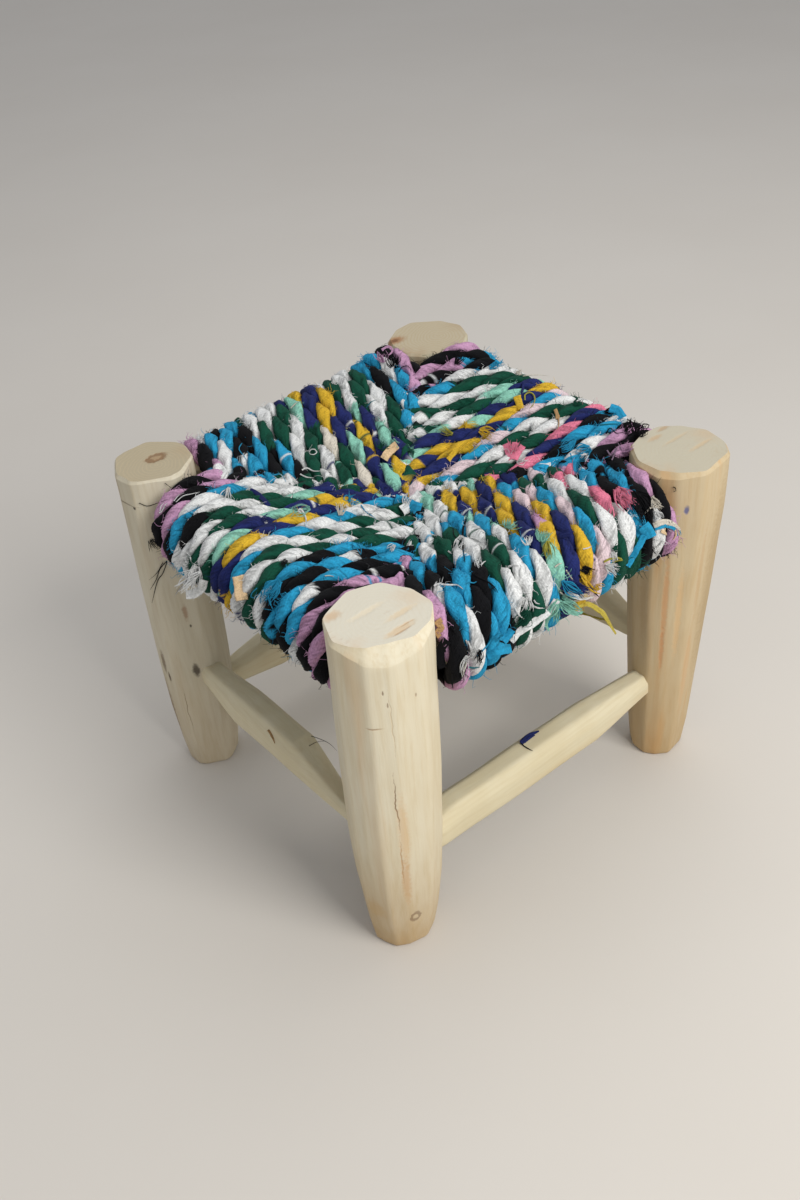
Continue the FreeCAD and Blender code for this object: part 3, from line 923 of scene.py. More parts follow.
# painted shade: the strip's colour is darkened towards black in the valleys between folds
shaded = mix_colours(tree, fade(tree, fold, 0.0, 0.5, 0.5, 0.0), strip_colour, (0.0, 0.0, 0.0, 1.0))
wear = times(tree, fade(tree, mottle, 0.25, 0.75, 0.72, 1.0), fade(tree, weave, -0.6, 0.6, 0.88, 1.0))
shaded = mix_colours(tree, 1.0, shaded, vector_of(tree, wear, wear, wear), "MULTIPLY")
height = math_of(tree, "ADD", times(tree, weave, 0.2), times(tree, crumple, 1.5))
set_surface(tree, shader, shaded, height, 0.6, 0.0006, Roughness=0.9, Specular_IOR_Level=0.12, Sheen_Weight=0.02)

# %% [markdown]
# ## Colours of the rows
# Each row is twisted from two strips, so a pair of names per row, from the first
# leg of a side to the second, says how the seat is striped. Where a strip runs
# out on the seat, the next one is tied in; those places are listed apart, with
# the share of the turn at which the colour changes.

# %% Row colours
rows_of_fields = (
    # front: from the near leg to the right leg
    ("mauve black", "white blue", "black blue", "black blue", "green white", "white green", "white blue",
     "navy mint", "navy mustard", "mustard navy", "pale_pink blue", "green white", "hot_pink white",
     "black blue", "blue black", "mauve black"),
    # right: from the right leg to the far leg
    ("mauve black", "black mauve", "white blue", "black blue", "navy hot_pink", "green white", "white green",
     "pale_pink blue", "mustard navy", "navy mint", "green white", "white green", "green white",
     "black white", "mauve black", "mauve black"),
    # rear: from the far leg to the left leg
    ("black mauve", "white blue", "black blue", "green white", "white green", "green white", "mustard navy",
     "navy mustard", "navy mint", "white green", "green white", "green white", "black blue", "blue black",
     "white blue", "mauve black"),
    # left: from the left leg to the near leg
    ("mauve black", "mauve black", "white blue", "black white", "white green", "green white", "mint navy",
     "mustard navy", "blue white", "green white", "white green", "blue black", "blue black", "blue white",
     "mauve black", "mauve black"))
# strips that end on the seat: side, row, strand, from and to in millimetres, next colour; the places count
# inward from the rail, 0 is above the rail, -25 outside and -50 below it
changed_strips = (
    (0, 1, 0, 8, 130, "black"), (0, 2, 0, 36, 130, "green"), (0, 2, 1, 36, 130, "white"),
    (0, 3, 0, 15, 130, "green"), (0, 3, 1, 18, 130, "white"), (0, 4, 0, 55, 130, "blue"), (0, 5, 1, 35, 70, "blue"),
    (0, 5, 1, 70, 130, "mint"), (0, 6, 0, 32, 58, "mint"), (0, 6, 0, 58, 130, "navy"),
    (0, 6, 1, 55, 130, "mustard"), (0, 7, 1, 12, 130, "mustard"), (0, 8, 1, 8, 26, "mauve"),
    (0, 9, 0, 52, 130, "blue"), (0, 9, 1, 25, 130, "pale_pink"), (0, 10, 0, 50, 130, "green"),
    (0, 14, 0, -30, -6, "white"), (0, 0, 0, -50, -36, "black"), (0, 9, 1, -50, -20, "pale_pink"),
    (0, 12, 0, -50, -10, "green"), (0, 13, 0, -50, -30, "green"), (1, 9, 1, 50, 130, "mustard"),
    (1, 10, 1, -6, 26, "mint"), (1, 10, 0, 60, 130, "navy"), (1, 10, 1, 60, 130, "mint"),
    (1, 13, 1, -30, 6, "blue"), (1, 13, 0, 28, 130, "blue"), (1, 14, 0, -30, 8, "blue"), (2, 5, 0, 30, 130, "navy"),
    (2, 5, 1, 27, 130, "mint"), (2, 7, 1, 42, 130, "mint"), (2, 8, 0, 27, 130, "green"),
    (2, 8, 1, 25, 130, "cream"), (2, 10, 0, -30, -5, "blue"), (2, 11, 0, 30, 130, "black"),
    (2, 11, 1, 22, 130, "blue"), (2, 13, 1, 28, 130, "white"), (3, 6, 0, -50, -23, "navy"),
    (3, 7, 1, -50, -25, "mustard"), (3, 8, 1, -50, -28, "navy"), (3, 9, 1, -50, -34, "mustard"),
    (3, 11, 0, -50, -24, "black"), (3, 14, 0, -50, -30, "black"), (3, 15, 1, -50, -32, "mauve"),
    (3, 2, 0, -50, -26, "blue"), (3, 3, 0, -5, 130, "green"), (3, 5, 1, 45, 130, "mint"),
    (3, 5, 0, 64, 130, "navy"), (3, 6, 0, 48, 130, "mustard"), (3, 11, 0, 52, 130, "white"),
    (3, 11, 1, 25, 130, "green"), (3, 12, 1, 12, 34, "white"), (3, 13, 1, -5, 130, "black"))

# %% Values at the points of the rope
seat_underside = 0.18                           # strips change their colour only above this, in metres
rail_top_share, rail_underside = 0.25, -50.0    # of a turn, and in millimetres inward


def values_of(points, field, parts=1, kind=np.float32):
    """What a mesh's points hold, as rows of numbers."""
    values = np.zeros(len(points) * parts, dtype=kind)
    points.foreach_get(field, values)
    return values.reshape(-1, parts) if parts > 1 else values


def strip_colours(mesh, side, places):
    """Colour of the cloth at each point of a field."""
    rows, strand, inward = (values_of(mesh.attributes[key].data, "value") for key in ("rows", "strand", "inward"))
    row = np.clip(rows.astype(int), 0, row_count - 1)
    second = strand > 0.5
    table = np.array([[dyed(colour) for colour in pair.split()] for pair in rows_of_fields[side]])
    colours = table[row, second.astype(int)]
    share = rows % 1.0
    outside = (share < 0.5) & (places[:, 2] > seat_underside)
    uneven = np.where(share > rail_top_share, rail_underside - inward, inward)
    uneven = uneven + 2.5 * np.sin(places[:, 0] * 1900) * np.sin(places[:, 1] * 2300)
    for field, changed_row, changed_strand, start, end, colour in changed_strips:
        if field == side:
            chosen = outside & (row == changed_row) & (uneven > start) & (uneven < end)
            colours[chosen & (second == (changed_strand == 1))] = dyed(colour)
    return colours


def exposure(mesh, side, places):
    """How much each point of a field faces away from its rail and the seat's inside, from 0 to 1."""
    angle = -math.pi / 2 * side
    inner = places[:, 0] * math.sin(angle) + places[:, 1] * math.cos(angle) + half_spacing * mm
    core = np.maximum(inner, 0.0)
    apart = np.stack([inner - core, places[:, 2] - rail_height * mm + 0.13 * core], axis=1)
    apart /= np.linalg.norm(apart, axis=1)[:, None] + 1e-9
    normals = values_of(mesh.vertices, "normal", 3, float)
    turned = normals[:, 0] * math.sin(angle) + normals[:, 1] * math.cos(angle)
    exposed = np.clip((turned * apart[:, 0] + normals[:, 2] * apart[:, 1] - 0.1) * 2, 0, 1)
    return exposed * np.clip(1 + normals[:, 2] * 0.9, 0.3, 1)


# %% Rope fields
for side, name in enumerate(side_names):
    points, rows, lay, full, inward = rope_line(side)
    source = line_object("rope_line", points, {"rows": rows, "lay": lay, "full": full, "inward": inward})
    rope = grown("rag_rope_" + name, source, rope_tree, {"Seed": side * 7.0, "Cloth": rag_cloth})
    places = values_of(rope.data.vertices, "co", 3, float)
    store(rope.data, "cloth_colour", "FLOAT_COLOR", strip_colours(rope.data, side, places))
    store(rope.data, "exposed", "FLOAT", exposure(rope.data, side, places))
    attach(rope, body)
    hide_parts("rope_winding_" + name)
    print(rope.name, "triangles:", triangle_count(rope))

# %% [markdown]
# ## Lint
# The cut edges of the strips fray along the whole rope. Distribute Points on Faces
# scatters places over the rope, more where a soft noise is high, so that the lint
# grows in patches. On each place stands a short bent hair that keeps the colour of
# its strip. Hairs on hidden faces would never be seen: the rope stores how exposed
# each of its points is, and the density is multiplied by that.

# %% Lint tree
lint_tree, given = new_group("rag_lint", (
    ("Density", "NodeSocketFloat", 300000.0), ("Hair length", "NodeSocketFloat", 4.3 * mm),
    ("Hair thickness", "NodeSocketFloat", 0.17 * mm), ("Seed", "NodeSocketInt", 1),
    ("Cloth", "NodeSocketMaterial", None)))
tree = lint_tree
place = made_by(tree, "GeometryNodeInputPosition")
patches = fade(tree, noise_of(tree, place, 95.0, 2.0), 0.54, 0.68, 0.04, 1.0)
density = times(tree, times(tree, patches, named(tree, "exposed")), given["Density"])
spots = add(tree, "GeometryNodeDistributePointsOnFaces",
            {"Mesh": given["Geometry"], "Density": density, "Seed": given["Seed"]},
            distribute_method="RANDOM").outputs
hair = made_by(tree, "GeometryNodeCurvePrimitiveLine", {"Start": (0, 0, -0.1), "End": (0, 0, 1)})
hair = made_by(tree, "GeometryNodeResampleCurve", {"Curve": hair, "Count": 5}, mode="COUNT")
leaning = made_by(tree, "FunctionNodeRandomValue", {0: (-1.15, -1.15, -3.1), 1: (1.15, 1.15, 3.1)},
                  data_type="FLOAT_VECTOR")
leaning = made_by(tree, "FunctionNodeEulerToRotation", {0: leaning})
leaning = made_by(tree, "FunctionNodeRotateRotation", {0: spots["Rotation"], 1: leaning}, rotation_space="LOCAL")
long = add(tree, "FunctionNodeRandomValue", {2: 0.35, 3: 1.5}, data_type="FLOAT").outputs[1]
long = times(tree, long, given["Hair length"])
hairs = made_by(tree, "GeometryNodeInstanceOnPoints",
                {"Points": spots["Points"], "Instance": hair, "Rotation": leaning,
                 "Scale": vector_of(tree, long, long, long)})
hairs = made_by(tree, "GeometryNodeRealizeInstances", {"Geometry": hairs})

# %% Bends and thickness of the hairs
share = along_curve(tree, "Factor")
shake = add(tree, "ShaderNodeTexNoise", {"Vector": place, "Scale": 340.0, "Detail": 1.0}).outputs["Color"]
shake = vector_math(tree, "SUBTRACT", shake, (0.5, 0.5, 0.6))
strength = times(tree, math_of(tree, "POWER", share, 1.3), 11.0 * mm)
hairs = shifted(tree, hairs, scaled(tree, shake, strength))
slim = fade(tree, share, 0.2, 1.0, 1.0, 0.45)
hairs = stored(tree, hairs, "thickness", times(tree, slim, given["Hair thickness"]))
# a fixed ridge value gives the lint a little painted shade
hairs = stored(tree, swept(tree, hairs, circle_of(tree, 3), "thickness"), "fold", 0.45)
end_tree(tree, hairs, given["Cloth"], smooth=False)

# %% Lint on the four fields
for side, name in enumerate(side_names):
    source = put_in_scene("lint_source", bpy.data.objects["rag_rope_" + name].data.copy())
    lint = grown("rag_lint_" + name, source, lint_tree, {"Seed": 11 + side, "Cloth": rag_cloth})
    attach(lint, body)
    print(lint.name, "triangles:", triangle_count(lint))

# %% [markdown]
# ## Loose threads and cloth ends
# Where a strip of cloth ends, it frays: threads stand out, hang down or lie over
# the neighbouring rows. They could be scattered at random, but the larger ones give
# this seat its look, so each is laid where the photograph shows it. A ray from the
# camera through a place in the photograph finds the rope or the leg that carries
# the thread there, so it is also in its place when it is seen from another side.

# %% From a place in the photograph to a place on the stool
from mathutils.bvhtree import BVHTree

photo_width, photo_height = 800, 1200
edge_jump, edge_step = 0.008, 0.0005            # a hit so much deeper lies behind an edge, and the path goes on
tightening_passes = 3
evaluated = bpy.context.evaluated_depsgraph_get()
carriers = [BVHTree.FromObject(piece, evaluated) for piece in bpy.data.objects
            if piece.name.startswith(("rag_rope", "hewn_leg", "hewn_stretcher"))]


def seen_ray(x, y):
    """Direction in which the camera sees a place in the photograph."""
    scale = camera_data.sensor_height / photo_height / camera_data.lens
    return (forward + right * (x - photo_width / 2) * scale - up * (y - photo_height / 2) * scale).normalized()


def seen_depth(ray):
    """Distance from the camera to the first surface along a ray, or None."""
    hits = [carrier.ray_cast(camera_place, ray)[3] for carrier in carriers]
    return min((hit for hit in hits if hit is not None), default=None)


def smooth_path(pixels, step=2.4):
    """A smooth path through places in the photograph, with a point every few pixels."""
    knots = [np.array(pixel, dtype=float) for pixel in pixels]
    knots = [2 * knots[0] - knots[1]] + knots + [2 * knots[-1] - knots[-2]]
    path = []
    for before, here, after, beyond in zip(knots, knots[1:], knots[2:], knots[3:]):
        count = max(1, round(float(np.linalg.norm(after - here)) / step))
        for t in np.arange(count) / count:
            path.append(0.5 * (2 * here + (after - before) * t
                               + (2 * before - 5 * here + 4 * after - beyond) * t ** 2
                               + (3 * here - before - 3 * after + beyond) * t ** 3))
    return path + [knots[-2]]


def laid(pixels, lift, free=False):
    """Points over a path in the photograph. A free path keeps the depth of its start where nothing is nearer."""
    rays = [seen_ray(x, y) for x, y in smooth_path(pixels)]
    depths = [seen_depth(ray) for ray in rays]
    last = next((depth for depth in depths if depth), None)
    if last is None:
        return []
    start = last
    tight = []
    for depth in depths:
        if depth is None or depth > last + edge_jump:
            depth = last + edge_step
        last = min(depth, start) if free else depth
        tight.append(last)
    for _ in range(tightening_passes):
        padded = [tight[0]] + tight + [tight[-1]]
        tight = [min(here, (before + after) / 2) for before, here, after in zip(padded, tight, padded[2:])]
    return [camera_place + ray * (depth - lift) for ray, depth in zip(rays, tight)]


print("carriers:", len(carriers), "the middle of the seat is seen at", round(seen_depth(seen_ray(400, 480)), 3), "m")

# %% [markdown]
# ## Growing threads with Geometry Nodes
# A thread is a line with a thickness at each point. The tree below turns many such
# lines into thin twisted cords, and with a flatter section into ribbons of cloth.

# %% Thread tree
thread_tree, given = new_group("loose_threads", (
    ("Sides", "NodeSocketInt", 5), ("Flatness", "NodeSocketFloat", 1.0), ("Crumple", "NodeSocketFloat", 0.0),
    ("Cloth", "NodeSocketMaterial", None)))
tree = thread_tree
curve = made_by(tree, "GeometryNodeMeshToCurve", {0: given["Geometry"]})
curve = made_by(tree, "GeometryNodeSetCurveNormal",
                {"Curve": curve, "Normal": named(tree, "facing", "FLOAT_VECTOR")}, mode="FREE")
curve = stored(tree, curve, "distance", along_curve(tree, "Length"))
ring = stored(tree, circle_of(tree, given["Sides"]), "around", along_curve(tree, "Factor"))
section = vector_of(tree, given["Flatness"], 1.0, 1.0)
ring = made_by(tree, "GeometryNodeTransform", {"Geometry": ring, "Scale": section})
# a fixed ridge value gives the threads a little painted shade
cords = stored(tree, swept(tree, curve, ring, "thickness"), "fold", 0.4)
place = made_by(tree, "GeometryNodeInputPosition")
shake = add(tree, "ShaderNodeTexNoise", {"Vector": place, "Scale": 260.0, "Detail": 2.0}).outputs["Color"]
shake = vector_math(tree, "SUBTRACT", shake, (0.5, 0.5, 0.5))
end_tree(tree, shifted(tree, cords, scaled(tree, shake, given["Crumple"])), given["Cloth"])


# %% Bundles of lines
class Bundle:
    """Lines with a colour and a thickness, collected until a tree makes them solid."""

    def __init__(self):
        self.points, self.edges, self.colours, self.thickness = [], [], [], []

    def add_line(self, points, colour, thickness, taper=True):
        """Adds a line. Its ends are drawn in if it tapers."""
        if len(points) < 2:
            return
        first = len(self.points)
        for index, point in enumerate(points):
            share = index / (len(points) - 1)
            full = min(1.0, 0.3 + 1.5 * (1 - share)) if taper else 1.0
            self.points.append(tuple(point))
            self.colours.append(dyed(colour))
            self.thickness.append(thickness * full * mm / 2)
        self.edges += [(first + i, first + i + 1) for i in range(len(points) - 1)]

    def grow(self, name, values):
        """Makes the bundle's solid piece."""
        mesh = bpy.data.meshes.new(name)
        mesh.from_pydata(self.points, self.edges, [])
        facing = [(camera_place - Vector(point)).normalized() for point in self.points]
        store(mesh, "thickness", "FLOAT", self.thickness)
        store(mesh, "cloth_colour", "FLOAT_COLOR", self.colours)
        store(mesh, "facing", "FLOAT_VECTOR", facing)
        piece = grown(name, put_in_scene(name + "_lines", mesh), thread_tree, values)
        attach(piece, body)
        print(piece.name, "triangles:", triangle_count(piece))


# %% [markdown]
# ## Single threads
# Each line gives a colour, a thickness in millimetres and the places in the
# photograph that the thread runs through.

# %% Single threads
cloths.update({"teal": (38, 122, 132), "olive": (176, 170, 70), "heather": (150, 128, 148), "tan": (196, 156, 108),
               "peach": (240, 208, 164), "straw": (210, 190, 84)})
threads_left = (
    ("black", 0.5, ((139, 503), (147, 506), (155, 504), (166, 500))),
    ("black", 0.4, ((165, 483), (170, 487), (175, 490))),
    ("white", 0.8, ((159, 513), (162, 511), (165, 505), (168, 503))),
    ("white", 0.7, ((160, 511), (161, 506), (164, 503))), ("white", 0.6, ((174, 501), (179, 495), (184, 493))),
    ("white", 0.6, ((176, 502), (183, 496), (191, 494), (200, 492))),
    ("black", 0.6, ((167, 561), (160, 569), (156, 580), (150, 590))),
    ("black", 0.4, ((163, 562), (157, 573), (149, 580))),
    ("black", 0.6, ((167, 562), (163, 573), (158, 580), (155, 590), (152, 603))),
    ("white", 0.9, ((186, 552), (190, 556), (191, 562))), ("white", 0.8, ((187, 556), (185, 561), (190, 564))),
    ("white", 0.7, ((183, 586), (178, 591), (175, 596))), ("blue", 0.8, ((262, 592), (260, 600), (261, 604))),
    ("blue", 0.9, ((268, 592), (269, 600), (274, 612))), ("blue", 0.6, ((276, 590), (270, 598), (272, 607))),
    ("blue", 0.6, ((257, 588), (252, 593), (251, 597), (254, 598), (257, 592))),
    ("blue", 0.6, ((283, 575), (275, 581), (270, 590))), ("blue", 0.6, ((292, 571), (284, 578), (275, 586))),
    ("blue", 0.8, ((266, 480), (272, 476), (280, 474), (284, 478), (286, 482))),
    ("white", 0.9, ((265, 481), (267, 488))), ("white", 1.1, ((302, 470), (307, 468), (313, 471), (320, 471))),
    ("white", 1.0, ((300, 474), (306, 477), (314, 478))),
    ("white", 0.8, ((309, 452), (311, 449.5), (315, 449.5), (317, 452), (314, 454.5), (310, 454), (309, 452))),
    ("white", 1.4, ((301, 513), (298, 511), (300, 509), (303, 512), (306, 519), (305, 526))),
    ("blue", 0.7, ((344, 500), (344, 497), (347, 495), (349, 498), (347, 501), (344, 500))),
    ("blue", 0.8, ((361, 505), (366, 512), (371, 515), (376, 519))),
    ("blue", 0.7, ((352, 544), (357, 549), (361, 555))), ("blue", 0.7, ((357, 543), (361, 548), (361, 554))),
    ("blue", 0.7, ((376, 551), (379, 556), (382, 558))), ("white", 0.7, ((291, 498), (293, 494))),
    ("cream", 0.7, ((325, 576), (329, 575.5), (334, 576.5))))
threads_rear = (
    ("blue", 0.7, ((242, 443), (239, 449), (244, 456), (247, 461))),
    ("cream", 0.8, ((291, 408), (295, 404), (299, 401))), ("cream", 0.8, ((256, 404), (266, 400), (279, 396))),
    ("blue", 0.6, ((349, 356), (351, 350), (354, 347))), ("teal", 0.8, ((366, 408), (371, 402), (376, 400))),
    ("black", 0.7, ((399, 372), (402, 367), (408, 366), (411, 370))),
    ("black", 0.7, ((449, 362), (452, 357), (458, 356), (462, 359))),
    ("black", 0.7, ((455, 354), (459, 350), (464, 351), (468, 355))),
    ("blue", 1.0, ((497, 366), (501, 362), (503, 359))),
    ("cream", 0.6, ((523, 376), (532, 375), (541, 375), (549, 376))),
    ("navy", 2.0, ((523, 382), (523, 388), (521, 396))),
    ("olive", 1.1, ((525, 400), (525, 395), (529, 392.5), (533, 394), (535, 399), (533, 405), (530, 408))),
    ("tan", 0.8, ((558, 418), (559, 424), (557, 430))), ("cream", 0.7, ((559, 421), (562, 418), (566, 416))),
    ("mustard", 1.1, ((457, 452), (463, 445), (470, 440), (476, 437))),
    ("olive", 0.8, ((469, 453), (476, 448), (482, 443))),
    ("mustard", 1.1, ((459, 453), (467, 446), (475, 441), (485, 436))),
    ("olive", 1.0, ((479, 478), (485, 477), (492, 473))), ("olive", 0.9, ((481, 475), (483, 480), (486, 484))),
    ("white", 0.8, ((431, 482), (434, 480), (437, 477))))
threads_right = (
    ("blue", 0.8, ((570, 453), (572, 458), (574, 463))), ("blue", 0.8, ((581, 471), (586, 471), (590, 467))),
    ("black", 0.8, ((627, 419), (632, 422), (636, 425))), ("black", 0.7, ((634, 420), (636, 426))),
    ("black", 0.8, ((640, 427), (644, 424), (649, 425), (648, 428), (643, 428))),
    ("teal", 0.8, ((600, 425), (610, 424), (620, 424))),
    ("black", 0.8, ((606, 434), (610, 428), (616, 433), (624, 432))),
    ("heather", 1.0, ((607, 450), (611, 456), (614, 452), (618, 446))),
    ("heather", 0.9, ((612, 460), (615, 453), (618, 447))), ("heather", 0.8, ((618, 443), (620, 447), (622, 451))),
    ("black", 0.6, ((673, 487), (675.5, 488), (676, 491), (673, 492))),
    ("cream", 1.2, ((645, 513), (652, 507), (660, 508))), ("cream", 1.0, ((648, 510), (655, 505), (662, 509))),
    ("black", 0.8, ((640, 546), (644, 548), (648, 549.5))),
    ("blue", 0.9, ((668, 525), (675, 526), (680, 531), (681, 535))),
    ("peach", 1.3, ((665, 528), (664, 533), (667, 535))), ("peach", 1.4, ((675, 530), (676, 535), (673, 540))),
    ("cream", 1.1, ((679, 530), (680, 535), (677, 539))),
    ("olive", 1.3, ((604, 562), (610, 559), (618, 558), (622, 560), (616, 561), (610, 565))))
threads_front = (
    ("white", 1.0, ((467, 537), (475, 542), (482, 547))), ("white", 0.9, ((470, 537), (478, 540), (484, 545))),
    ("black", 1.3, ((466, 519), (463, 530), (463, 548), (465, 562))),
    ("black", 0.6, ((453, 528), (454, 535), (459, 540), (463, 543))), ("white", 1.0, ((448, 551), (452, 554))),
    ("white", 0.9, ((478, 563), (481, 556))), ("white", 0.9, ((481, 565), (484, 562), (486, 561))),
    ("white", 1.3, ((508, 567), (514, 565), (519, 566))), ("white", 0.8, ((521, 568), (520, 573), (521, 578))),
    ("white", 1.0, ((523, 600), (524, 607), (521, 612))), ("white", 1.2, ((515, 608), (519, 615), (524, 619))),
    ("white", 1.0, ((531, 605), (538, 608), (545, 608))), ("white", 0.9, ((534, 600), (536, 603), (540, 604))),
    ("white", 1.2, ((434, 586), (438, 584), (448, 585), (457, 585), (463, 589))),
    ("blue", 0.8, ((469, 582), (474, 583), (477, 581))),
    ("black", 0.8, ((470, 571), (478, 577), (488, 582), (496, 592))),
    ("black", 0.7, ((484, 580), (490, 583), (496, 589), (498, 593))),
    ("black", 0.6, ((487, 592), (493, 588), (496, 586))), ("black", 0.6, ((488, 611), (491, 609), (490, 605))),
    ("black", 0.6, ((450, 625), (453, 630), (457, 634))), ("black", 0.6, ((447, 640), (450, 648), (451, 659))),
    ("black", 0.5, ((445, 645), (446, 655))), ("black", 1.0, ((452, 674), (452, 682), (453, 689))),
    ("white", 1.0, ((466, 640), (469, 650), (469, 660))), ("white", 1.1, ((468, 641), (471, 650), (470, 656))),
    ("cream", 1.3, ((467, 662), (464, 670), (462, 677))), ("blue", 0.9, ((493, 636), (487, 646), (477, 656))),
    ("black", 1.0, ((500, 641), (507, 643), (513, 642), (519, 637))),
    ("teal", 1.0, ((468, 667), (474, 668), (480, 667))), ("black", 1.2, ((478, 652), (480, 658), (482, 663))),
    ("cream", 1.0, ((555, 567), (559, 564), (562, 563))), ("white", 0.8, ((583, 549), (588, 548), (592, 546))),
    ("cream", 0.9, ((566, 570), (570, 576), (575, 583))), ("blue", 0.9, ((562, 581), (566, 585), (573, 592))),
    ("white", 1.0, ((563, 590), (572, 597), (582, 599), (594, 597))),
    ("cream", 1.0, ((560, 592), (570, 600), (580, 601))),
    ("mustard", 1.5, ((580, 576), (585, 583), (592, 591), (601, 594))),
    ("mustard", 1.2, ((582, 575), (588, 582), (596, 590), (602, 588))),
    ("black", 1.2, ((588, 586), (594, 592), (599, 597))), ("black", 1.2, ((579, 575), (584, 582), (590, 588))),
    ("black", 1.0, ((580, 570), (586, 572), (591, 572))), ("black", 1.0, ((560, 609), (561, 614), (560, 617))),
    ("navy", 3.4, ((521, 743), (526, 738), (532, 734), (539, 731))),
    ("navy", 2.2, ((524, 742), (529, 738), (535, 735))),
    ("black", 0.8, ((520, 742), (524, 746), (529, 749), (533, 751))),
    ("black", 0.4, ((311, 736), (320, 739), (330, 744), (337, 751))),
    ("black", 0.35, ((309, 746), (317, 742), (326, 741))))
thread_lift = 0.8 * mm
bundle = Bundle()
for colour, thickness, pixels in threads_left + threads_rear + threads_right + threads_front:
    bundle.add_line(laid(pixels, thread_lift), colour, thickness)
bundle.grow("single_threads", {"Cloth": rag_cloth})

# %% [markdown]
# ## Frayed ends
# A frayed end is a bundle of short threads that spread like a fan. A tuft is given
# by its root, its tip, the width of the fan and the number of threads; a seeded
# generator bends each thread a little, so every run gives the same tufts.

# %% Frayed ends
# colour, root, tip, spread in pixels, number of threads, thickness
tufts = (
    ("white", (196, 566), (189, 594), 8, 26, 0.9), ("white", (198, 574), (180, 587), 5, 12, 1.0),
    ("white", (199, 570), (185, 577), 5, 12, 0.9), ("blue", (280, 580), (264, 600), 8, 18, 0.8),
    ("blue", (350, 503), (356, 497), 8, 12, 0.8), ("cream", (341, 515), (341, 504), 5, 9, 1.0),
    ("green", (380, 449), (384, 443), 9, 16, 0.8), ("mint", (392, 440), (396, 447), 6, 10, 0.8),
    ("mint", (310, 508), (288, 512), 6, 8, 0.7), ("white", (228, 488), (226, 500), 5, 8, 0.8),
    ("black", (150, 540), (155, 549), 6, 12, 0.5), ("white", (333, 383), (336, 379), 5, 8, 0.8),
    ("blue", (366, 363), (362, 357), 7, 12, 0.8), ("mauve", (384, 362), (381, 352), 6, 10, 0.9),
    ("black", (394, 366), (391, 355), 8, 20, 0.8), ("black", (456, 364), (463, 352), 6, 14, 0.7),
    ("blue", (490, 368), (501, 362), 5, 10, 0.9), ("green", (574, 404), (582, 400), 5, 10, 0.8),
    ("cream", (517, 374), (522, 372), 3, 6, 0.8), ("mustard", (480, 430), (492, 435), 6, 12, 1.0),
    ("olive", (452, 434), (440, 429), 4, 8, 0.8), ("mustard", (466, 428), (464, 421), 3, 6, 1.0),
    ("white", (533, 430), (534, 421), 4, 8, 0.9), ("hot_pink", (513, 452), (514, 441), 8, 10, 0.8),
    ("white", (517, 462), (528, 458), 3, 6, 0.8), ("blue", (590, 448), (575, 455), 9, 14, 1.0),
    ("blue", (575, 440), (562, 447), 7, 12, 0.9), ("blue", (575, 462), (578, 474), 5, 8, 1.0),
    ("white", (588, 455), (582, 459), 4, 8, 0.8), ("black", (605, 412), (620, 408), 4, 9, 0.8),
    ("black", (638, 436), (640, 426), 9, 22, 0.8), ("black", (626, 432), (632, 420), 5, 10, 0.7),
    ("mauve", (624, 452), (632, 445), 5, 8, 1.0), ("hot_pink", (617, 488), (628, 506), 8, 26, 1.0),
    ("hot_pink", (620, 496), (634, 506), 6, 12, 0.9), ("black", (634, 492), (648, 520), 8, 28, 1.0),
    ("cream", (652, 497), (660, 508), 4, 12, 0.9), ("white", (655, 512), (660, 519), 4, 8, 0.8),
    ("navy", (560, 536), (572, 532), 5, 10, 1.0), ("mint", (540, 541), (543, 531), 8, 18, 0.9),
    ("mint", (508, 528), (511, 520), 9, 20, 0.8), ("white", (527, 598), (525, 609), 9, 20, 0.8),
    ("white", (528, 545), (526, 536), 5, 10, 0.9), ("white", (476, 560), (480, 566), 4, 6, 0.8),
    ("white", (606, 566), (617, 571), 6, 18, 0.9), ("white", (612, 552), (616, 560), 5, 8, 0.8),
    ("green", (614, 550), (620, 546), 4, 8, 0.8), ("black", (583, 568), (590, 574), 5, 10, 0.9),
    ("navy", (564, 584), (586, 592), 5, 14, 1.1), ("blue", (562, 582), (580, 596), 5, 10, 0.9),
    ("mint", (560, 600), (552, 620), 8, 16, 0.9), ("mint", (560, 602), (581, 612), 4, 12, 1.0),
    ("mint", (563, 596), (572, 602), 4, 10, 0.8), ("cream", (575, 593), (590, 594), 4, 8, 0.8),
    ("black", (480, 650), (477, 664), 4, 7, 0.6), ("green", (530, 612), (516, 628), 5, 10, 0.8),
    ("blue", (500, 634), (494, 640), 4, 8, 0.8), ("mustard", (596, 586), (601, 590), 4, 6, 1.0),
    ("white", (462, 536), (456, 550), 5, 10, 0.8), ("white", (407, 508), (412, 497), 8, 18, 0.9),
    ("green", (440, 540), (432, 546), 5, 8, 0.7), ("white", (394, 545), (390, 550), 5, 9, 0.8),
    ("black", (286, 560), (280, 566), 5, 8, 0.7), ("navy", (262, 520), (270, 521), 5, 9, 0.7),
    ("olive", (548, 541), (549, 556), 4, 12, 0.9), ("white", (467, 656), (462, 677), 3, 5, 0.7))
fullness = 1.5                  # so many threads for each one that a tuft names
root_spread = 0.35              # width of a fan at its root, as a share of its width at the tip
chance = np.random.default_rng(11)
bundle = Bundle()
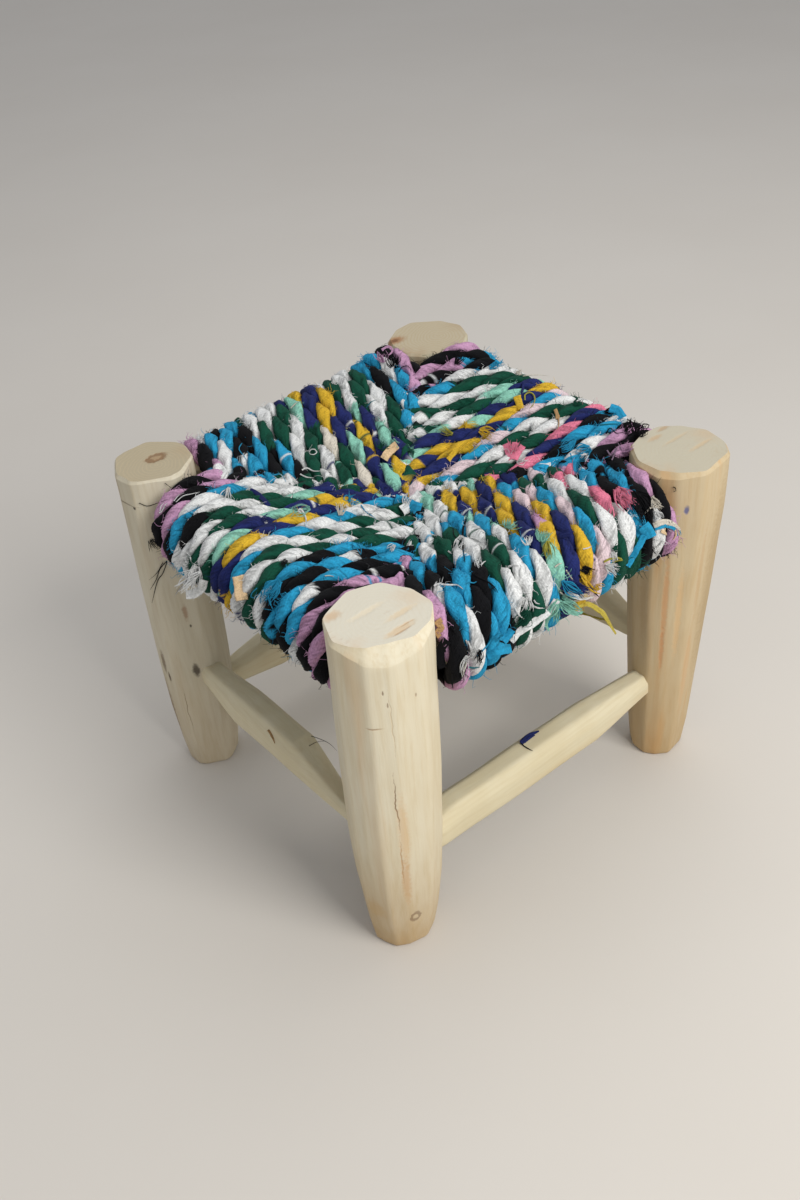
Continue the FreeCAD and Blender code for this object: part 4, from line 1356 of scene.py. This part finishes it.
for colour, root, tip, spread, count, thickness in tufts:
    root, tip = np.array(root, dtype=float), np.array(tip, dtype=float)
    along = tip - root
    aside = np.array((-along[1], along[0])) / np.linalg.norm(along)
    for _ in range(round(count * fullness)):
        fan = chance.uniform(-1, 1)
        start = root + aside * fan * spread * root_spread + chance.normal(0, 0.5, 2)
        end = root + along * chance.uniform(0.65, 1.2) + aside * (fan * spread + chance.normal(0, 1.2))
        bend = aside * chance.normal(0, 0.13) * np.linalg.norm(along) + chance.normal(0, 0.7, 2)
        points = laid((start, (start + end) / 2 + bend, end), chance.uniform(0.3, 2.6) * mm, free=True)
        bundle.add_line(points, colour, thickness * chance.uniform(0.45, 0.9))
bundle.grow("frayed_ends", {"Cloth": rag_cloth})

# %% [markdown]
# ## Ribbons of cloth
# A few strips end in a flat tail or are knotted to the next strip. They come from
# the same tree as the threads, with a flat section and a crumpled surface.

# %% Ribbons
ribbon_lift = 0.6
# colour, width in millimetres, whether it tapers, places
ribbons = (
    ("navy", 2.8, False, ((250, 490), (258, 494), (264, 500), (269, 506))),
    ("straw", 3.2, True, ((577, 606), (588, 604), (600, 611), (606, 618), (611, 626), (616, 634))),
    ("straw", 1.8, True, ((574, 614), (585, 614), (597, 618), (605, 620), (610, 626))),
    ("white", 4.4, False, ((511, 641), (518, 633), (530, 625), (543, 616), (552, 608), (557, 600))),
    ("mint", 3.2, True, ((557, 608), (549, 616), (546, 624), (549, 631))),
    ("mint", 3.4, True, ((560, 604), (569, 610), (577, 614), (583, 612))),
    ("blue", 6.5, False, ((487, 655), (498, 650), (511, 647))),
    ("blue", 4.5, False, ((503, 641), (508, 636), (512, 630))),
    ("navy", 6.0, True, ((563, 584), (572, 589), (582, 590), (590, 588))),
    ("white", 3.0, True, ((566, 592), (574, 596), (584, 598), (594, 597))),
    ("blue", 4.0, False, ((644, 536), (639, 546), (631, 560), (627, 566))),
    ("cream", 3.6, True, ((654, 526), (663, 522), (673, 524), (680, 530))),
    ("blue", 2.6, True, ((655, 529), (665, 526), (673, 528), (678, 536))),
    ("mauve", 2.4, True, ((382, 350), (388, 347), (393, 351), (389, 355))),
    ("mustard", 3.5, True, ((448, 460), (455, 452), (462, 448))),
    ("white", 5.5, False, ((204, 580), (201, 589), (193, 594), (186, 595))),
    ("hot_pink", 4.6, False, ((512, 459), (508, 451), (505, 444))),
    ("hot_pink", 4.2, False, ((513, 459), (514, 450), (515, 442))),
    ("hot_pink", 4.0, False, ((515, 459), (519, 452), (523, 446))),
    ("tan", 3.0, False, ((442, 620), (437, 623), (442, 628), (437, 632), (440, 637))),
    ("tan", 1.6, True, ((268, 730), (272, 736), (275, 743))),
    ("black", 5.0, False, ((447, 640), (442, 647), (440, 657), (443, 668))))
knots = (
    ("peach", 7.6, False, ((238.5, 576), (240, 583), (240.5, 591), (242, 600))),
    ("peach", 6.0, False, ((384, 459), (388, 453), (393, 448), (397, 445))),
    ("tan", 2.6, False, ((555, 409), (557, 414), (558, 419))),
    ("white", 2.0, False, ((437, 642), (439, 643), (441, 645))),
    ("blue", 7.5, False, ((395, 500), (404, 502), (412, 506), (421, 509))),
    ("white", 7.0, False, ((402, 511), (409, 506), (415, 500), (421, 494))),
    ("blue", 8.0, False, ((643, 526), (647, 531), (650, 538))),
    ("peach", 2.6, True, ((661, 531), (664, 532), (667, 535))),
    ("mustard", 5.0, False, ((517, 396), (519, 403), (521, 409))),
    ("blue", 6.0, False, ((610, 408), (618, 411), (622, 418))))
# name, strips, thickness as a share of the width, and crumple in millimetres
for name, strips, flatness, crumple in (("ragged_ribbons", ribbons, 0.16, 1.6), ("tied_ends", knots, 0.42, 2.2)):
    bundle = Bundle()
    for colour, width, tapers, pixels in strips:
        bundle.add_line(laid(pixels, (ribbon_lift + width * flatness / 2) * mm), colour, width, tapers)
    bundle.grow(name, {"Cloth": rag_cloth, "Sides": 14, "Flatness": flatness, "Crumple": crumple * mm})
